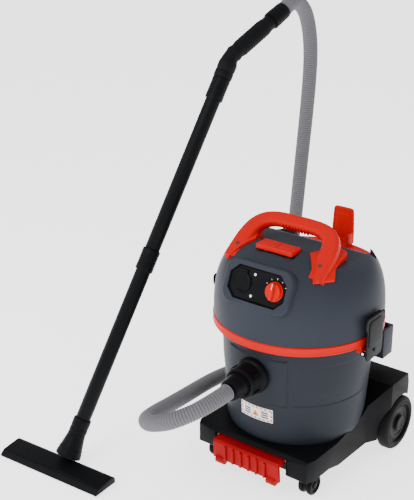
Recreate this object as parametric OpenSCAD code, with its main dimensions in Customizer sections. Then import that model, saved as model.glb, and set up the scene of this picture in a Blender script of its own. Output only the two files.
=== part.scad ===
// Wet and dry shop vacuum: a round tank under a red-ringed motor head, on a wheeled
// trolley, with its hose, two-piece wand and floor nozzle.
// Front faces -Y, +Z is up, and the origin is on the floor under the tank's axis.

/* [Tank] */
// Outer radius of the tank at its rim
tank_r = 180; // [150:1:220]
// Outer radius of the tank just above its rounded foot
foot_r = 163; // [135:1:200]
// Height of the tank's underside above the floor
floor_z = 92; // [80:1:120]
// Height of the tank's rim flange above the floor
rim_z = 370; // [300:1:460]
// Wall thickness of the tank
tank_wall = 3.5; // [2.5:0.5:5]
// How far the red rim ring stands out past the tank's wall
ring_proud = 20; // [16:1:26]
// Height of the red rim ring
ring_h = 23; // [18:1:30]

/* [Suction inlet] */
// Height of the inlet's centre below the rim flange
inlet_drop = 84; // [75:1:100]
// Radius of the inlet's black mounting flange
port_r = 43; // [38:1:48]
// Outer radius of the hose
hose_r = 19; // [15:1:22]

/* [Head] */
// Height of the head above the rim ring
head_h = 188; // [165:1:210]
// Wall thickness of the head's shell
head_wall = 3; // [2.5:0.5:4]
// Depth of the deck under the carrying handle below the head's top
deck_drop = 31; // [24:1:36]
// Depth of the rear tray below the head's top
tray_drop = 83; // [70:1:90]
// Width of the control panel
panel_w = 150; // [136:1:160]
// Height of the control panel
panel_h = 78; // [72:1:84]
// Backward lean of the control panel in degrees
panel_lean = 21; // [16:1:24]
// Radius of the rotary switch knob
knob_r = 22; // [18:1:26]
// Thickness of the carrying handle's bar
grip_t = 28; // [22:1:32]

/* [Motor] */
// Outer radius of the turbine case
turbine_r = 68; // [60:1:72]
// Radius of the motor shaft
shaft_r = 4; // [3:0.5:5]

/* [Trolley] */
// Radius of the rear wheels
wheel_r = 68; // [60:1:76]
// Width of the rear wheels
wheel_w = 34; // [26:1:38]
// Distance of each rear wheel's outer face from the middle
track = 202; // [196:1:225]
// Radius of the twin castors' wheels
castor_r = 25; // [20:1:27]
// Radius of the rear axle
axle_r = 8; // [6:0.5:10]
// Width of the brake pedal
pedal_w = 182; // [150:1:186]

/* [Wand and nozzle] */
// Outer radius of the wand's tubes
tube_r = 18; // [16:0.5:20]
// Wall thickness of the wand's tubes
tube_wall = 1.8; // [1.4:0.2:2.6]
// Visible length of each tube
tube_len = 385; // [300:5:450]
// Width of the floor nozzle
nozzle_w = 300; // [260:5:360]
// Depth of the floor nozzle from front to back
nozzle_d = 72; // [62:1:90]

/* [Hidden] */
$fn = 96;
clear = 0.3;         // gap between parts that come apart
fit = 0.06;          // radial gap of a running fit
slip = 0.15;         // gap between pieces fixed to each other

// tank and ring
tank_in = tank_r - tank_wall;
ring_r = tank_r + ring_proud;
ring_top = rim_z + 10;
inlet_z = rim_z - inlet_drop;
foot_top = floor_z + 28;

// head
head_z = ring_top + 0.6;
head_r = ring_r - 2;
head_top = head_z + head_h;
deck_z = head_top - deck_drop;
tray_z = head_top - tray_drop;
dome_power = 3;
base_t = 3.4;
panel_y = 26 - head_r;
panel_z = head_z + 118;
outlet_x = -41;
knob_x = 46;
outlet_r = 25;
flap_t = 4;
bezel_rim = 13;
key_w = 96;
key_y = [85 - head_r, 124 - head_r];
key_seat_z = head_top - 16;
key_travel = 4;
post_r = 4;
tray_r = head_r - 26;
tray_back = head_r - 43;
plate_w = 104;
gland_z = head_z + 36;
gland_r = 9;
filter_w = tank_r - 110;
filter_x = tank_r - 85;

// handle bail, drawn flat and then leant back
bail_foot = [0, 86 - head_r, head_z + head_h - 48];
bail_lean = 36;
bail_len = 143;
bail_half = head_r - 68;
bail_bar = 34;
leg_plan = [[bail_half - 58, 122 - head_r], [bail_half - 16, 69 - head_r], [bail_half + 14, 108 - head_r],
    [bail_half + 1, 134 - head_r], [bail_half - 6, 190 - head_r], [bail_half - 30, 190 - head_r],
    [bail_half - 52, 133 - head_r]];

// motor stack above the head's base
base_top = head_z + base_t;
case_h = 44;
case_wall = 2.5;
case_z = base_top + clear;
bearing_r = 11;
bearing_h = 8;
low_bearing_z = case_z + case_h + clear;
stator_z = low_bearing_z + bearing_h + 2;
stator_h = 38;
stator_r = 44;
armature_r = 27;
brush_z = stator_z + stator_h + 2;
brush_h = 6;
top_bearing_z = brush_z + brush_h + 2;
frame_top = top_bearing_z + bearing_h + 3;
fan_z = frame_top + 2;
fan_h = 6;
hood_r = turbine_r + 9;
hood_top = fan_z + fan_h + 5;

// latches
latch_y = -12;
latch_x = ring_r - 1;
latch_z = rim_z - 25;
latch_w = 72;
latch_gap = 6.5;
latch_t = 5;
hook_z = head_z + 42;
pin_r = 3;

// trolley
axle_y = 162;
deck_front = -tank_r - 10;
side_x = track - wheel_w - 4;
deck_top = foot_top - 8;
tower_top = floor_z + 98;
tower_x = track - 6;
tower_y = axle_y + 41;
castor_pos = [side_x - 36, deck_front + 40];
castor_trail = 18;
castor_w = 13;
castor_web = 8;
stem_r = 6;
castor_top = 2 * castor_r + 6;
pedal_pivot = [deck_front + 12, floor_z + 2];
pedal_reach = 31;
pedal_pin_r = 4;

// tool holder behind the tank
holder_x = tank_r - 64;
holder_y = tank_r + 10;
holder_z = [rim_z - 148, rim_z - 72];
holder_bore = 18.5;

// wand: a straight axis from the nozzle's neck, then a bend into the handle
wand_foot = [-376, -345, 113];
wand_lean = 29.7;
wand_turn = 77.4;
collar_len = 50;
collar_r = tube_r + 3.5;
insert_len = 40;
low_end = tube_len;
high_start = low_end + 6;
high_end = low_end + collar_len + tube_len;
bend_at = high_end + 2 * collar_len + 5;
bend_angle = 32.3;
grip_len = 191;
cuff_len = 48;
nozzle_pos = [-397, -420];
nozzle_turn = 3;
neck_start = -106;

// hose: its middle line, from the inlet's cuff round the left side to the wand's handle
cuff_end_y = -275;
hose_points = [
    [0, -275, 286], [-5, -315, 281], [-26, -362, 266], [-68, -394, 243],
    [-122, -392, 217], [-166, -356, 193], [-190, -298, 174], [-204, -228, 158],
    [-215, -155, 145], [-228, -82, 131], [-244, -10, 113], [-262, 75, 88],
    [-280, 155, 56], [-296, 235, 28], [-308, 310, 23], [-314, 370, 42],
    [-316, 412, 90], [-315, 435, 160], [-312, 444, 240], [-307, 446, 330],
    [-300, 447, 420], [-293, 447, 510], [-286, 447, 600], [-279, 447, 690],
    [-272, 445, 780], [-266, 438, 860], [-260, 418, 930], [-253, 382, 985],
    [-247, 332, 1016], [-242, 290, 1014], [-239, 267, 1006]];

// ---------------------------------------------------------------- shared shapes

// Tube between two heights, as one true bored cylinder
module ring_solid(r_out, r_in, z0, z1) {
    translate([0, 0, z0]) difference() {
        cylinder(r = r_out, h = z1 - z0);
        translate([0, 0, -1]) cylinder(r = r_in, h = z1 - z0 + 2);
    }
}

// Box centred on x = 0 between two y values and two heights
module slab(w, y0, y1, z0, z1) {
    translate([-w / 2, y0, z0]) cube([w, y1 - y0, z1 - z0]);
}

// Lays a child that points along +Z along X, at a height and depth
module along_x(y, z) {
    translate([0, y, z]) rotate([0, 90, 0]) children();
}

// Outer body of the tank grown by g, open upwards to the height top
module tank_body(g, top) {
    rotate_extrude() polygon([
        [0, floor_z - g], [foot_r - 24, floor_z - g], [foot_r - 7 + g, floor_z + 8],
        [foot_r + g, foot_top], [tank_r - 2.5 + g, rim_z - 95], [tank_r + g, rim_z - 25],
        [tank_r + g, top], [0, top]]);
}

// Dome of the head grown by g
module dome(g) {
    rotate_extrude() polygon(concat(
        [[0, head_z - 1], [head_r + g, head_z - 1]],
        [for (a = [0:7.5:90])
            [(head_r + g) * pow(cos(a), 2 / dome_power),
             head_z + (head_h + g) * pow(sin(a), 2 / dome_power)]],
        [[0, head_top + g]]));
}

// Puts a child on the panel: x across, z up the panel, y into the head
module on_panel() {
    translate([0, panel_y, panel_z]) rotate([-panel_lean, 0, 0]) children();
}

// Lays a child that points along +Z into the panel from depth d, at a place across it
module panel_bore(x, d) {
    on_panel() translate([x, d, 0]) rotate([-90, 0, 0]) children();
}

// Puts a child on the wand's axis, s along it from the foot
module on_wand(s) {
    translate(wand_foot) rotate([0, wand_lean, wand_turn]) translate([0, 0, s]) children();
}

// Puts a child on the handle's axis, s along it from the elbow
module on_grip(s) {
    on_wand(bend_at) rotate([0, bend_angle, 0]) translate([0, 0, s]) children();
}

// ---------------------------------------------------------------- tank

module tank() {
    pad_w = 150;
    color("#3f454d") difference() {
        union() {
            tank_body(0, rim_z);
            ring_solid(tank_r + 9, tank_r - 1, rim_z - 6, rim_z);
            intersection() {
                tank_body(3, rim_z - ring_h);
                slab(pad_w, -tank_r - 10, -tank_r / 2, inlet_z - 72, rim_z - ring_h - 1);
            }
        }
        rotate_extrude() polygon([
            [0, floor_z + tank_wall], [foot_r - 24, floor_z + tank_wall],
            [foot_r - 7 - tank_wall, floor_z + 8 + tank_wall], [foot_r - tank_wall, foot_top],
            [tank_in - 2.5, rim_z - 95], [tank_in, rim_z - 25], [tank_in, rim_z + 1],
            [0, rim_z + 1]]);
        translate([0, -tank_r / 2, inlet_z]) rotate([90, 0, 0]) cylinder(r = port_r - 12, h = tank_r);
    }
}

module rim_ring() {
    lip = tank_r + 6;
    lug_h = rim_z - ring_h + 14 - latch_z;
    color("#dd2f2a") {
        rotate_extrude() polygon([
            [tank_r + 0.4, rim_z - ring_h + 10], [ring_r - 4, rim_z - ring_h + 10],
            [ring_r, rim_z - ring_h + 13], [ring_r, ring_top - 3], [ring_r - 3, ring_top],
            [lip, ring_top], [lip, rim_z + slip], [tank_r + 9 + slip, rim_z + slip],
            [tank_r + 9 + slip, rim_z - 6 - slip], [tank_r + 0.4, rim_z - 6 - slip]]);
        for (side = [0, 1]) mirror([side, 0, 0]) difference() {
            translate([tank_r - 6, latch_y - latch_w / 2 + 8, 0]) {
                translate([0, 0, latch_z - 6]) cube([latch_x - tank_r + 6, latch_w - 16, 12]);
                translate([0, 0, latch_z]) cube([latch_x - tank_r - 2, latch_w - 16, lug_h]);
            }
            tank_body(slip, ring_top);
            translate([latch_x, 0, latch_z]) rotate([90, 0, 0])
                cylinder(r = pin_r + slip, h = 400, center = true);
        }
    }
}

module inlet_socket() {
    bore_r = port_r - 14;
    color("#191b1f") translate([0, 0, inlet_z]) rotate([90, 0, 0]) difference() {
        union() {
            translate([0, 0, tank_r - 1]) cylinder(r = port_r, h = 20);
            translate([0, 0, tank_r + 5]) cylinder(r = bore_r + 7, h = 51);
            translate([0, 0, tank_r - 22]) cylinder(r = port_r - 12 - slip, h = 30);
        }
        translate([0, 0, tank_r - 40]) cylinder(r = bore_r, h = 120);
        rotate([-90, 0, 0]) translate([0, 0, -inlet_z]) difference() {
            tank_body(3 + slip, rim_z);
            rotate([90, 0, 0]) translate([0, inlet_z, 0]) cylinder(r = port_r - 12, h = 300);
        }
    }
}

module inlet_seal() {
    bore_r = port_r - 14;
    color("#24262a") translate([0, 0, inlet_z]) rotate([90, 0, 0])
        ring_solid(bore_r - slip, hose_r + 7.5 + slip, tank_r - 12, tank_r - 6);
}

module inlet_deflector() {
    r = port_r - 12;
    color("#24262a") translate([0, 0, inlet_z]) rotate([90, 0, 0]) difference() {
        translate([0, 0, tank_r - 75]) cylinder(r = r, h = 52);
        translate([0, 0, tank_r - 73]) cylinder(r = r - 2, h = 60);
        translate([-r, -2 * r - 10, tank_r - 73]) cube([2 * r, 2 * r, 35]);
    }
}

module warning_label() {
    label_w = 86;
    label_h = 35;
    label_z = rim_z - 187;
    color("#f4f2ee") intersection() {
        slab(label_w, -tank_r - 5, -tank_r / 2, label_z - label_h / 2, label_z + label_h / 2);
        difference() {
            tank_body(0.8, rim_z - 40);
            tank_body(0.1, rim_z - 30);
        }
    }
}

module tool_holder() {
    lobe = holder_bore + 4.5;
    color("#3b4047") difference() {
        union() {
            for (side = [-1, 1]) translate([side * holder_x - lobe, holder_y - lobe, holder_z[0]])
                cube([2 * lobe, 2 * lobe, holder_z[1] - holder_z[0]]);
            slab(2 * holder_x, holder_y - lobe, holder_y - 6, holder_z[0] + 14, holder_z[1] - 14);
        }
        tank_body(slip, rim_z);
        for (side = [-1, 1]) translate([side * holder_x, holder_y, holder_z[0] - 1])
            cylinder(r = holder_bore, h = holder_z[1] - holder_z[0] + 2);
    }
}

// ---------------------------------------------------------------- trolley

// Side view of the trolley, drawn as y and z
module trolley_side() {
    translate([-track - 4, 0, 0]) rotate([90, 0, 90]) linear_extrude(2 * track + 8) polygon([
        [deck_front, 66], [deck_front, deck_top - 8], [deck_front + 12, deck_top],
        [-70, deck_top], [40, deck_top + 24], [117, tower_top], [tower_y - 6, tower_top],
        [tower_y, tower_top - 26], [tower_y - 3, 56], [120, 48], [-60, 48], [-100, castor_top + 2],
        [deck_front + 8, castor_top + 2]]);
}

// Plan view of the trolley
module trolley_plan() {
    translate([0, 0, 20]) linear_extrude(250) polygon([
        [6 - side_x, deck_front + 30], [14 - side_x, deck_front + 6], [56 - side_x, deck_front],
        [side_x - 56, deck_front], [side_x - 14, deck_front + 6], [side_x - 6, deck_front + 30],
        [side_x, 60], [tower_x, 118], [tower_x, tower_y],
        [-tower_x, tower_y], [-tower_x, 118], [-side_x, 60]]);
}

module trolley_frame() {
    arch_r = wheel_r + 6;
    pocket = pedal_w / 2 + 8;
    color("#17181b") {
        difference() {
            intersection() {
                trolley_side();
                trolley_plan();
            }
            tank_body(1, 400);
            slab(2 * (side_x - 14), deck_front + 40, 128, 0, floor_z - 6);
            slab(180, 90, 230, floor_z + 38, 400);
            slab(2 * pocket, deck_front - 20, deck_front + 27, 0, deck_top - 7);
            for (side = [-1, 1]) {
                translate([side * (side_x + 30), axle_y, wheel_r]) rotate([0, 90, 0])
                    cylinder(r = arch_r, h = 60, center = true);
                translate([side * (side_x + 30) - 30, axle_y - arch_r, -1]) cube([60, 160, wheel_r + 1]);
                translate([side * (tower_x - 36) - 29, axle_y - 36, wheel_r])
                    cube([58, 70, tower_top - wheel_r - 7]);
                translate([side * castor_pos[0], castor_pos[1], -1])
                    cylinder(r = castor_trail + castor_r + 8, h = castor_top + 1);
                translate([side * castor_pos[0], castor_pos[1], -1])
                    cylinder(r = stem_r + fit, h = floor_z - 7);
            }
            along_x(axle_y, wheel_r) cylinder(r = axle_r + slip, h = 500, center = true);
            along_x(pedal_pivot[0], pedal_pivot[1]) cylinder(r = pedal_pin_r + slip,
                h = 2 * pocket + 14, center = true);
        }
        for (side = [-1, 1]) difference() {
            translate([side * castor_pos[0], castor_pos[1], castor_top])
                cylinder(r = 16, h = floor_z - 6 - castor_top);
            translate([side * castor_pos[0], castor_pos[1], -1])
                cylinder(r = stem_r + fit, h = floor_z - 7);
            slab(2 * pocket, deck_front - 20, deck_front + 27, 0, deck_top - 7);
        }
    }
}

module rear_axle() {
    color("#b9bcc0") along_x(axle_y, wheel_r) cylinder(r = axle_r, h = 2 * (track - 8), center = true);
}

module axle_washers() {
    color("#b9bcc0") for (side = [-1, 1]) along_x(axle_y, wheel_r)
        ring_solid(axle_r + 5, axle_r + fit, side > 0 ? side_x + 0.5 : -side_x - 2.5,
            side > 0 ? side_x + 2.5 : -side_x - 0.5);
}

// Wheel profile pieces lie along +X on the right, and are mirrored for the left
module on_wheel(side) {
    translate([0, axle_y, wheel_r]) mirror([side < 0 ? 1 : 0, 0, 0])
        translate([track - wheel_w, 0, 0]) rotate([0, 90, 0]) children();
}

module tyre(side) {
    tread = wheel_r - 4;
    color("#1b1c1f") on_wheel(side) rotate_extrude() polygon([
        [wheel_r - 16, 1], [tread - 4, 1], [tread, 3], [wheel_r, 7], [wheel_r, wheel_w - 7],
        [tread, wheel_w - 3], [tread - 4, wheel_w - 1], [wheel_r - 16, wheel_w - 1]]);
}

module rim(side) {
    color("#222327") on_wheel(side) difference() {
        union() {
            ring_solid(wheel_r - 16, wheel_r - 20, 1, wheel_w - 1);
            translate([0, 0, wheel_w - 12]) cylinder(r = wheel_r - 17, h = 6);
            cylinder(r = axle_r + 8, h = wheel_w - 6);
            for (a = [0:60:300]) rotate([0, 0, a]) translate([axle_r + 4, -2, 4])
                cube([wheel_r - axle_r - 22, 4, wheel_w - 15]);
        }
        translate([0, 0, -1]) cylinder(r = axle_r + fit, h = wheel_w + 2);
    }
}

module hub_cap(side) {
    color("#2b2d31") on_wheel(side) translate([0, 0, wheel_w - 6]) difference() {
        cylinder(r1 = axle_r + 12, r2 = axle_r + 9, h = 6);
        translate([0, 0, -1]) cylinder(r = axle_r + 1, h = 3);
    }
}

// Castor pieces are drawn on the right, and mirrored for the left
module on_castor(side) {
    mirror([side < 0 ? 1 : 0, 0, 0]) translate([castor_pos[0], castor_pos[1], 0]) children();
}

module castor_fork(side) {
    color("#26282c") on_castor(side) difference() {
        union() {
            translate([0, 0, castor_top - 4 - clear]) {
                cylinder(r = stem_r, h = floor_z - 6 - castor_top + clear);
                cylinder(r = 14, h = 4);
            }
            translate([-castor_web / 2, castor_trail, castor_r]) rotate([0, 90, 0])
                cylinder(r = castor_r - 4, h = castor_web);
            translate([-castor_web / 2, 0, castor_r]) cube([castor_web, castor_trail, castor_r + 4]);
        }
        translate([0, castor_trail, castor_r]) rotate([0, 90, 0])
            cylinder(r = 3 + fit, h = 60, center = true);
    }
}

module castor_wheels(side) {
    half = castor_web / 2 + clear;
    color("#1b1c1f") on_castor(side) translate([0, castor_trail, castor_r]) rotate([0, 90, 0]) {
        cylinder(r = 3, h = 2 * (half + castor_w - 1), center = true);
        for (e = [-1, 1]) mirror([0, 0, e < 0 ? 1 : 0]) translate([0, 0, half]) rotate_extrude()
            polygon([[0, 0], [castor_r - 2, 0], [castor_r, 2], [castor_r, castor_w - 3],
                [castor_r - 3, castor_w], [castor_r - 8, castor_w], [castor_r - 10, castor_w - 4],
                [6, castor_w - 4], [6, castor_w], [0, castor_w]]);
    }
}

module brake_pedal() {
    y = pedal_pivot[0];
    z = pedal_pivot[1];
    half = pedal_w / 2;
    rib_n = 6;
    color("#c9262c") difference() {
        union() {
            translate([-half, 0, 0]) rotate([90, 0, 90]) linear_extrude(pedal_w) polygon([
                [y - 6, z + 6], [y - pedal_reach + 4, z + 4], [y - pedal_reach, z - 2],
                [y - pedal_reach + 2, z - 44], [y - pedal_reach + 8, z - 48],
                [y - pedal_reach + 12, z - 44], [y - pedal_reach + 8, z - 6], [y - 6, z - 6]]);
            along_x(y, z) cylinder(r = 8, h = pedal_w, center = true);
            for (i = [0:rib_n - 1]) translate([-half + 36 + i * 22 - 2.5, y - pedal_reach - 4, z - 42])
                cube([5, 8, 38]);
            for (side = [-1, 1]) translate([side * (half - 20), y - pedal_reach + 8, z - 46])
                rotate([0, 90, 0]) cylinder(r = 12, h = 22, center = true);
        }
        along_x(y, z) cylinder(r = pedal_pin_r + fit, h = pedal_w + 2, center = true);
    }
}

module pedal_pin() {
    color("#b9bcc0") along_x(pedal_pivot[0], pedal_pivot[1])
        cylinder(r = pedal_pin_r, h = pedal_w + 28, center = true);
}

// ---------------------------------------------------------------- latches

module latch(side) {
    x = latch_x + latch_gap;
    top = hook_z + 9;
    color("#1b1c20") mirror([side < 0 ? 1 : 0, 0, 0]) difference() {
        union() {
            translate([x, latch_y - latch_w / 2, latch_z - 20]) cube([latch_t, latch_w, top - latch_z + 20]);
            translate([x, latch_y - latch_w / 2 - 8, hook_z - 18]) cube([latch_t, latch_w + 14, 27]);
            translate([x - 6.5, latch_y - 28, hook_z + 0.5]) cube([7, 56, 8.5]);
            for (e = [-1, 1]) translate([latch_x, latch_y + e * (latch_w / 2 - 2), latch_z])
                rotate([90, 0, 0]) cylinder(r = 6, h = 4, center = true);
            for (e = [-1, 1]) translate([latch_x, latch_y + e * (latch_w / 2 - 2) - 2, latch_z - 6])
                cube([latch_gap + 1, 4, 12]);
        }
        translate([latch_x, 0, latch_z]) rotate([90, 0, 0]) cylinder(r = pin_r + fit, h = 300, center = true);
    }
}

module latch_pins() {
    color("#b9bcc0") for (side = [-1, 1]) translate([side * latch_x, latch_y, latch_z])
        rotate([90, 0, 0]) cylinder(r = pin_r, h = latch_w, center = true);
}

// ---------------------------------------------------------------- head

// Space above the handle's deck and the rear tray, grown by g into the head
module tray_space(g) {
    intersection() {
        translate([-300, 0, 0]) rotate([90, 0, 90]) linear_extrude(600) polygon([
            [-70 - g, head_top + 20], [-70 - g, deck_z - g], [60 - 0.41 * g, deck_z - g],
            [112 - 0.41 * g, tray_z - g], [tray_back + g, tray_z - g], [tray_back + g, head_top + 20]]);
        translate([0, 0, tray_z - 20]) cylinder(r = tray_r + g, h = 300);
    }
    slab(2 * plate_w + 2 * g, 110, 260, tray_z - 5 - g, head_top + 20);
}

// Space for the filter-cleaning key, grown by g into the head
module key_space(g) {
    slab(key_w + 2 + 2 * g, key_y[0] - 1 - g, key_y[1] + 1 + g, key_seat_z - g, head_top + 20);
}

module head_shell() {
    keeper_t = 13;
    color("#464c54") difference() {
        union() {
            difference() {
                dome(0);
                tray_space(0);
                key_space(0);
                difference() {
                    intersection() {
                        dome(-head_wall);
                        slab(600, -300, 300, 0, 700);
                    }
                    tray_space(head_wall);
                    key_space(head_wall);
                }
                slab(600, -300, 300, head_z - 10, head_z);
            }
            difference() {
                on_panel() translate([-panel_w / 2 - bezel_rim, -4, -panel_h / 2 - bezel_rim])
                    cube([panel_w + 2 * bezel_rim, 14, panel_h + 2 * bezel_rim]);
                slab(key_w + 10, key_y[0] - 10, key_y[1] + 100, key_seat_z - 10, head_top + 50);
            }
            for (side = [-1, 1]) translate([side * (latch_x - 5) - 9.5, latch_y - 28, hook_z - keeper_t])
                cube([19, 56, keeper_t]);
        }
        on_panel() translate([-panel_w / 2, -60, -panel_h / 2]) cube([panel_w, 90, panel_h]);
        for (side = [-1, 1]) translate([side * 30, (key_y[0] + key_y[1]) / 2, key_seat_z - 20])
            cylinder(r = post_r + fit + 0.2, h = 30);
        translate([0, head_r - 20, gland_z]) rotate([-90, 0, 0]) cylinder(r = gland_r + slip, h = 40);
        slab(120, head_r - 40, head_r + 20, head_z + 56, head_z + 86);
    }
}

module head_base() {
    color("#202226") difference() {
        union() {
            translate([0, 0, head_z]) cylinder(r = head_r - head_wall - slip, h = base_t);
            ring_solid(tank_in - 6, tank_in - 9, rim_z - 4, head_z + 1);
        }
        translate([0, 0, head_z - 30]) cylinder(r = 24, h = 60);
        for (side = [-1, 1]) translate([side * filter_x - filter_w / 2 + 6, -68, head_z - 1])
            cube([filter_w - 12, 136, base_t + 2]);
    }
}

module head_gasket() {
    color("#0f1012") ring_solid(tank_r + 4, tank_r - 2, rim_z + clear, head_z);
}

// Flat outline of the bail: a squared arch with a window under its bar
module bail_outline() {
    function arch(half, len, p) = [for (a = [0:6:180])
        [half * sign(cos(a)) * pow(abs(cos(a)), p), len * pow(sin(a), p)]];
    difference() {
        polygon(concat([[bail_half, -20]], arch(bail_half, bail_len, 0.55), [[-bail_half, -20]]));
        polygon(concat([[bail_half - 42, -21]], arch(bail_half - 42, bail_len - bail_bar, 0.4),
            [[42 - bail_half, -21]]));
    }
}

module carry_handle() {
    color("#dd2f2a") difference() {
        union() {
            translate(bail_foot) rotate([bail_lean, 0, 0]) translate([0, 0, -grip_t / 2])
                linear_extrude(grip_t) bail_outline();
            for (side = [0, 1]) mirror([side, 0, 0]) intersection() {
                dome(5);
                translate([0, 0, bail_foot[2] - 1]) linear_extrude(80) polygon(leg_plan);
            }
        }
        difference() {
            dome(slip);
            tray_space(-slip);
        }
    }
}

module cable_hook() {
    paddle_w = 59;
    paddle_t = 9;
    color("#dd2f2a") {
        intersection() {
            slab(2 * plate_w - 1, tray_back + 1, 260, tray_z - 5 + slip, tray_z + 1);
                translate([0, 0, tray_z - 20]) cylinder(r = head_r - 6, h = 60);
        }
        slab(paddle_w, head_r - 15, head_r - 15 + paddle_t, tray_z, tray_z + 92);
        for (side = [-1, 1]) translate([side * (paddle_w / 2 - 3) - 3, tray_back + 7, tray_z])
            cube([6, 24, 34]);
    }
}

module control_panel() {
    color("#1d1f23") difference() {
        on_panel() translate([-panel_w / 2 + clear, 1, -panel_h / 2 + clear])
            cube([panel_w - 2 * clear, 4, panel_h - 2 * clear]);
        panel_bore(outlet_x, -5) cylinder(r = outlet_r - 4 + slip, h = 20);
        panel_bore(knob_x, -5) cylinder(r = shaft_r + 1, h = 20);
    }
}

module head_screws() {
    color("#cfd1d3") {
        translate(bail_foot) rotate([bail_lean, 0, 0]) for (side = [-1, 1])
            translate([side * (bail_half - 21), 30, grip_t / 2]) cylinder(r = 4.5, h = 1.6);
        for (e = [-1, 1]) on_panel() translate([outlet_x + 30, 1, e * 24])
            rotate([90, 0, 0]) cylinder(r = 3.2, h = 1.6);
    }
}

module outlet_socket() {
    r = outlet_r - 4;
    color("#17181b") difference() {
        panel_bore(outlet_x, 1) cylinder(r = r, h = 34);
        panel_bore(outlet_x, 0) cylinder(r = r - 2, h = 18);
        for (e = [-1, 1]) panel_bore(outlet_x + e * 9.5, 10) cylinder(r = 2.4, h = 22);
    }
}

module outlet_flap() {
    hinge = outlet_r + 3;
    color("#1a1b1f") difference() {
        union() {
            panel_bore(outlet_x, -flap_t) cylinder(r = outlet_r, h = flap_t - 0.5);
            on_panel() translate([outlet_x, -flap_t / 2 - 0.5, hinge]) rotate([0, 90, 0])
                cylinder(r = 2.3, h = 24, center = true);
            on_panel() translate([outlet_x - 11, -flap_t, hinge - 12]) cube([22, flap_t - 0.5, 12]);
            on_panel() translate([outlet_x - 8, -flap_t - 3, -outlet_r + 2]) cube([16, 4, 5]);
        }
    }
}

module switch_knob() {
    color("#dd2f2a") {
        panel_bore(knob_x, -4) cylinder(r = knob_r, h = 4.5);
        panel_bore(knob_x, -12) cylinder(r1 = knob_r - 3, r2 = knob_r - 1, h = 9);
        on_panel() translate([knob_x - 4, -18, -knob_r + 2]) cube([8, 8, 2 * knob_r - 4]);
        panel_bore(knob_x, 0) cylinder(r = shaft_r, h = 24);
    }
}

module switch_block() {
    color("#2a2c30") difference() {
        on_panel() translate([knob_x - 18, 5.2, -20]) cube([36, 30, 40]);
        panel_bore(knob_x, 2) cylinder(r = shaft_r + fit, h = 26);
    }
}

module control_board() {
    color("#2e6b3e") on_panel() translate([-12, 14, -30]) cube([34, 2, 56]);
}

module clean_key() {
    cap_z = key_seat_z + key_travel + 1;
    mid = (key_y[0] + key_y[1]) / 2;
    color("#dd2f2a") {
        difference() {
            slab(key_w, key_y[0], key_y[1], cap_z, head_top + 1.5);
            slab(key_w - 6, key_y[0] + 3, key_y[1] - 3, cap_z - 1, head_top - 2);
        }
        for (side = [-1, 1]) {
            translate([side * 30, mid, key_seat_z - 12]) cylinder(r = post_r, h = head_top - key_seat_z + 11);
            translate([side * 17, mid, head_top + 1]) cylinder(r = 7, h = 2);
        }
    }
}

module key_springs() {
    color("#b9bcc0") for (side = [-1, 1]) translate([side * 30, (key_y[0] + key_y[1]) / 2, 0])
        ring_solid(post_r + 2.6, post_r + 1.2, key_seat_z, head_top - 2);
}

module cord_gland() {
    color("#191b1f") translate([0, 0, gland_z]) rotate([-90, 0, 0]) difference() {
        union() {
            translate([0, 0, head_r - 12]) cylinder(r = gland_r, h = 14);
            translate([0, 0, head_r + 0.5]) cylinder(r1 = gland_r + 4, r2 = gland_r, h = 12);
            translate([0, 0, head_r - 12]) cylinder(r = gland_r + 3, h = 6);
        }
        translate([0, 0, head_r - 20]) cylinder(r = 4.2, h = 50);
    }
}

module exhaust_grille() {
    color("#26282c") difference() {
        intersection() {
            slab(119.4, head_r - 40, head_r + 20, head_z + 56.3, head_z + 85.7);
            difference() {
                dome(0);
                dome(-head_wall);
            }
        }
        for (i = [-6:6]) translate([i * 9 - 2.5, head_r - 60, head_z + 61]) cube([5, 90, 20]);
    }
}

module filter_cassette(side) {
    w = filter_w;
    l = 150;
    h = 58;
    z = head_z - slip - h;
    pleats = 10;
    pitch = (l - 8) / pleats;
    color("#d8d5c8") translate([side * filter_x, 0, z]) {
        difference() {
            translate([-w / 2, -l / 2, 0]) cube([w, l, h]);
            translate([-w / 2 + 3, -l / 2 + 3, -1]) cube([w - 6, l - 6, h + 2]);
        }
        translate([-w / 2 + 2.5, -l / 2 + 4, 2]) rotate([90, 0, 90]) linear_extrude(w - 5) polygon(concat(
            [for (i = [0:2 * pleats]) [i * pitch / 2, i % 2 == 0 ? 0 : h - 8]],
            [for (i = [2 * pleats:-1:0]) [i * pitch / 2, (i % 2 == 0 ? 0 : h - 8) + 5]]));
    }
}

module float_cage() {
    r = 34;
    h = 68;
    z = head_z - slip - h;
    color("#202226") difference() {
        translate([0, 0, z]) cylinder(r = r, h = h);
        translate([0, 0, z + 3]) cylinder(r = r - 2.5, h = h);
        translate([0, 0, z - 1]) cylinder(r = 18, h = h);
        for (a = [0:60:300]) rotate([0, 0, a]) translate([0, -6, z + 10]) cube([r + 5, 12, h - 24]);
    }
}

module float() {
    z = head_z - slip - 68 + 3 + clear;
    color("#e8e6de") translate([0, 0, z]) difference() {
        union() {
            cylinder(r = 28, h = 14);
            translate([0, 0, 14]) cylinder(r1 = 28, r2 = 18, h = 12);
        }
        translate([0, 0, 2.5]) cylinder(r = 14, h = 18);
    }
}

// ---------------------------------------------------------------- motor

module turbine_case() {
    color("#c7c9cc") difference() {
        translate([0, 0, case_z]) cylinder(r = turbine_r, h = case_h);
        translate([0, 0, case_z + case_wall]) cylinder(r = turbine_r - case_wall, h = case_h - 2 * case_wall);
        translate([0, 0, case_z - 1]) cylinder(r = 24, h = 5);
        translate([0, 0, case_z + case_h - 5]) cylinder(r = shaft_r + 2, h = 10);
        for (a = [20:45:340]) rotate([0, 0, a]) translate([turbine_r - 5, -7, case_z + case_h - 16])
            cube([9, 14, 9]);
    }
}

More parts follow.
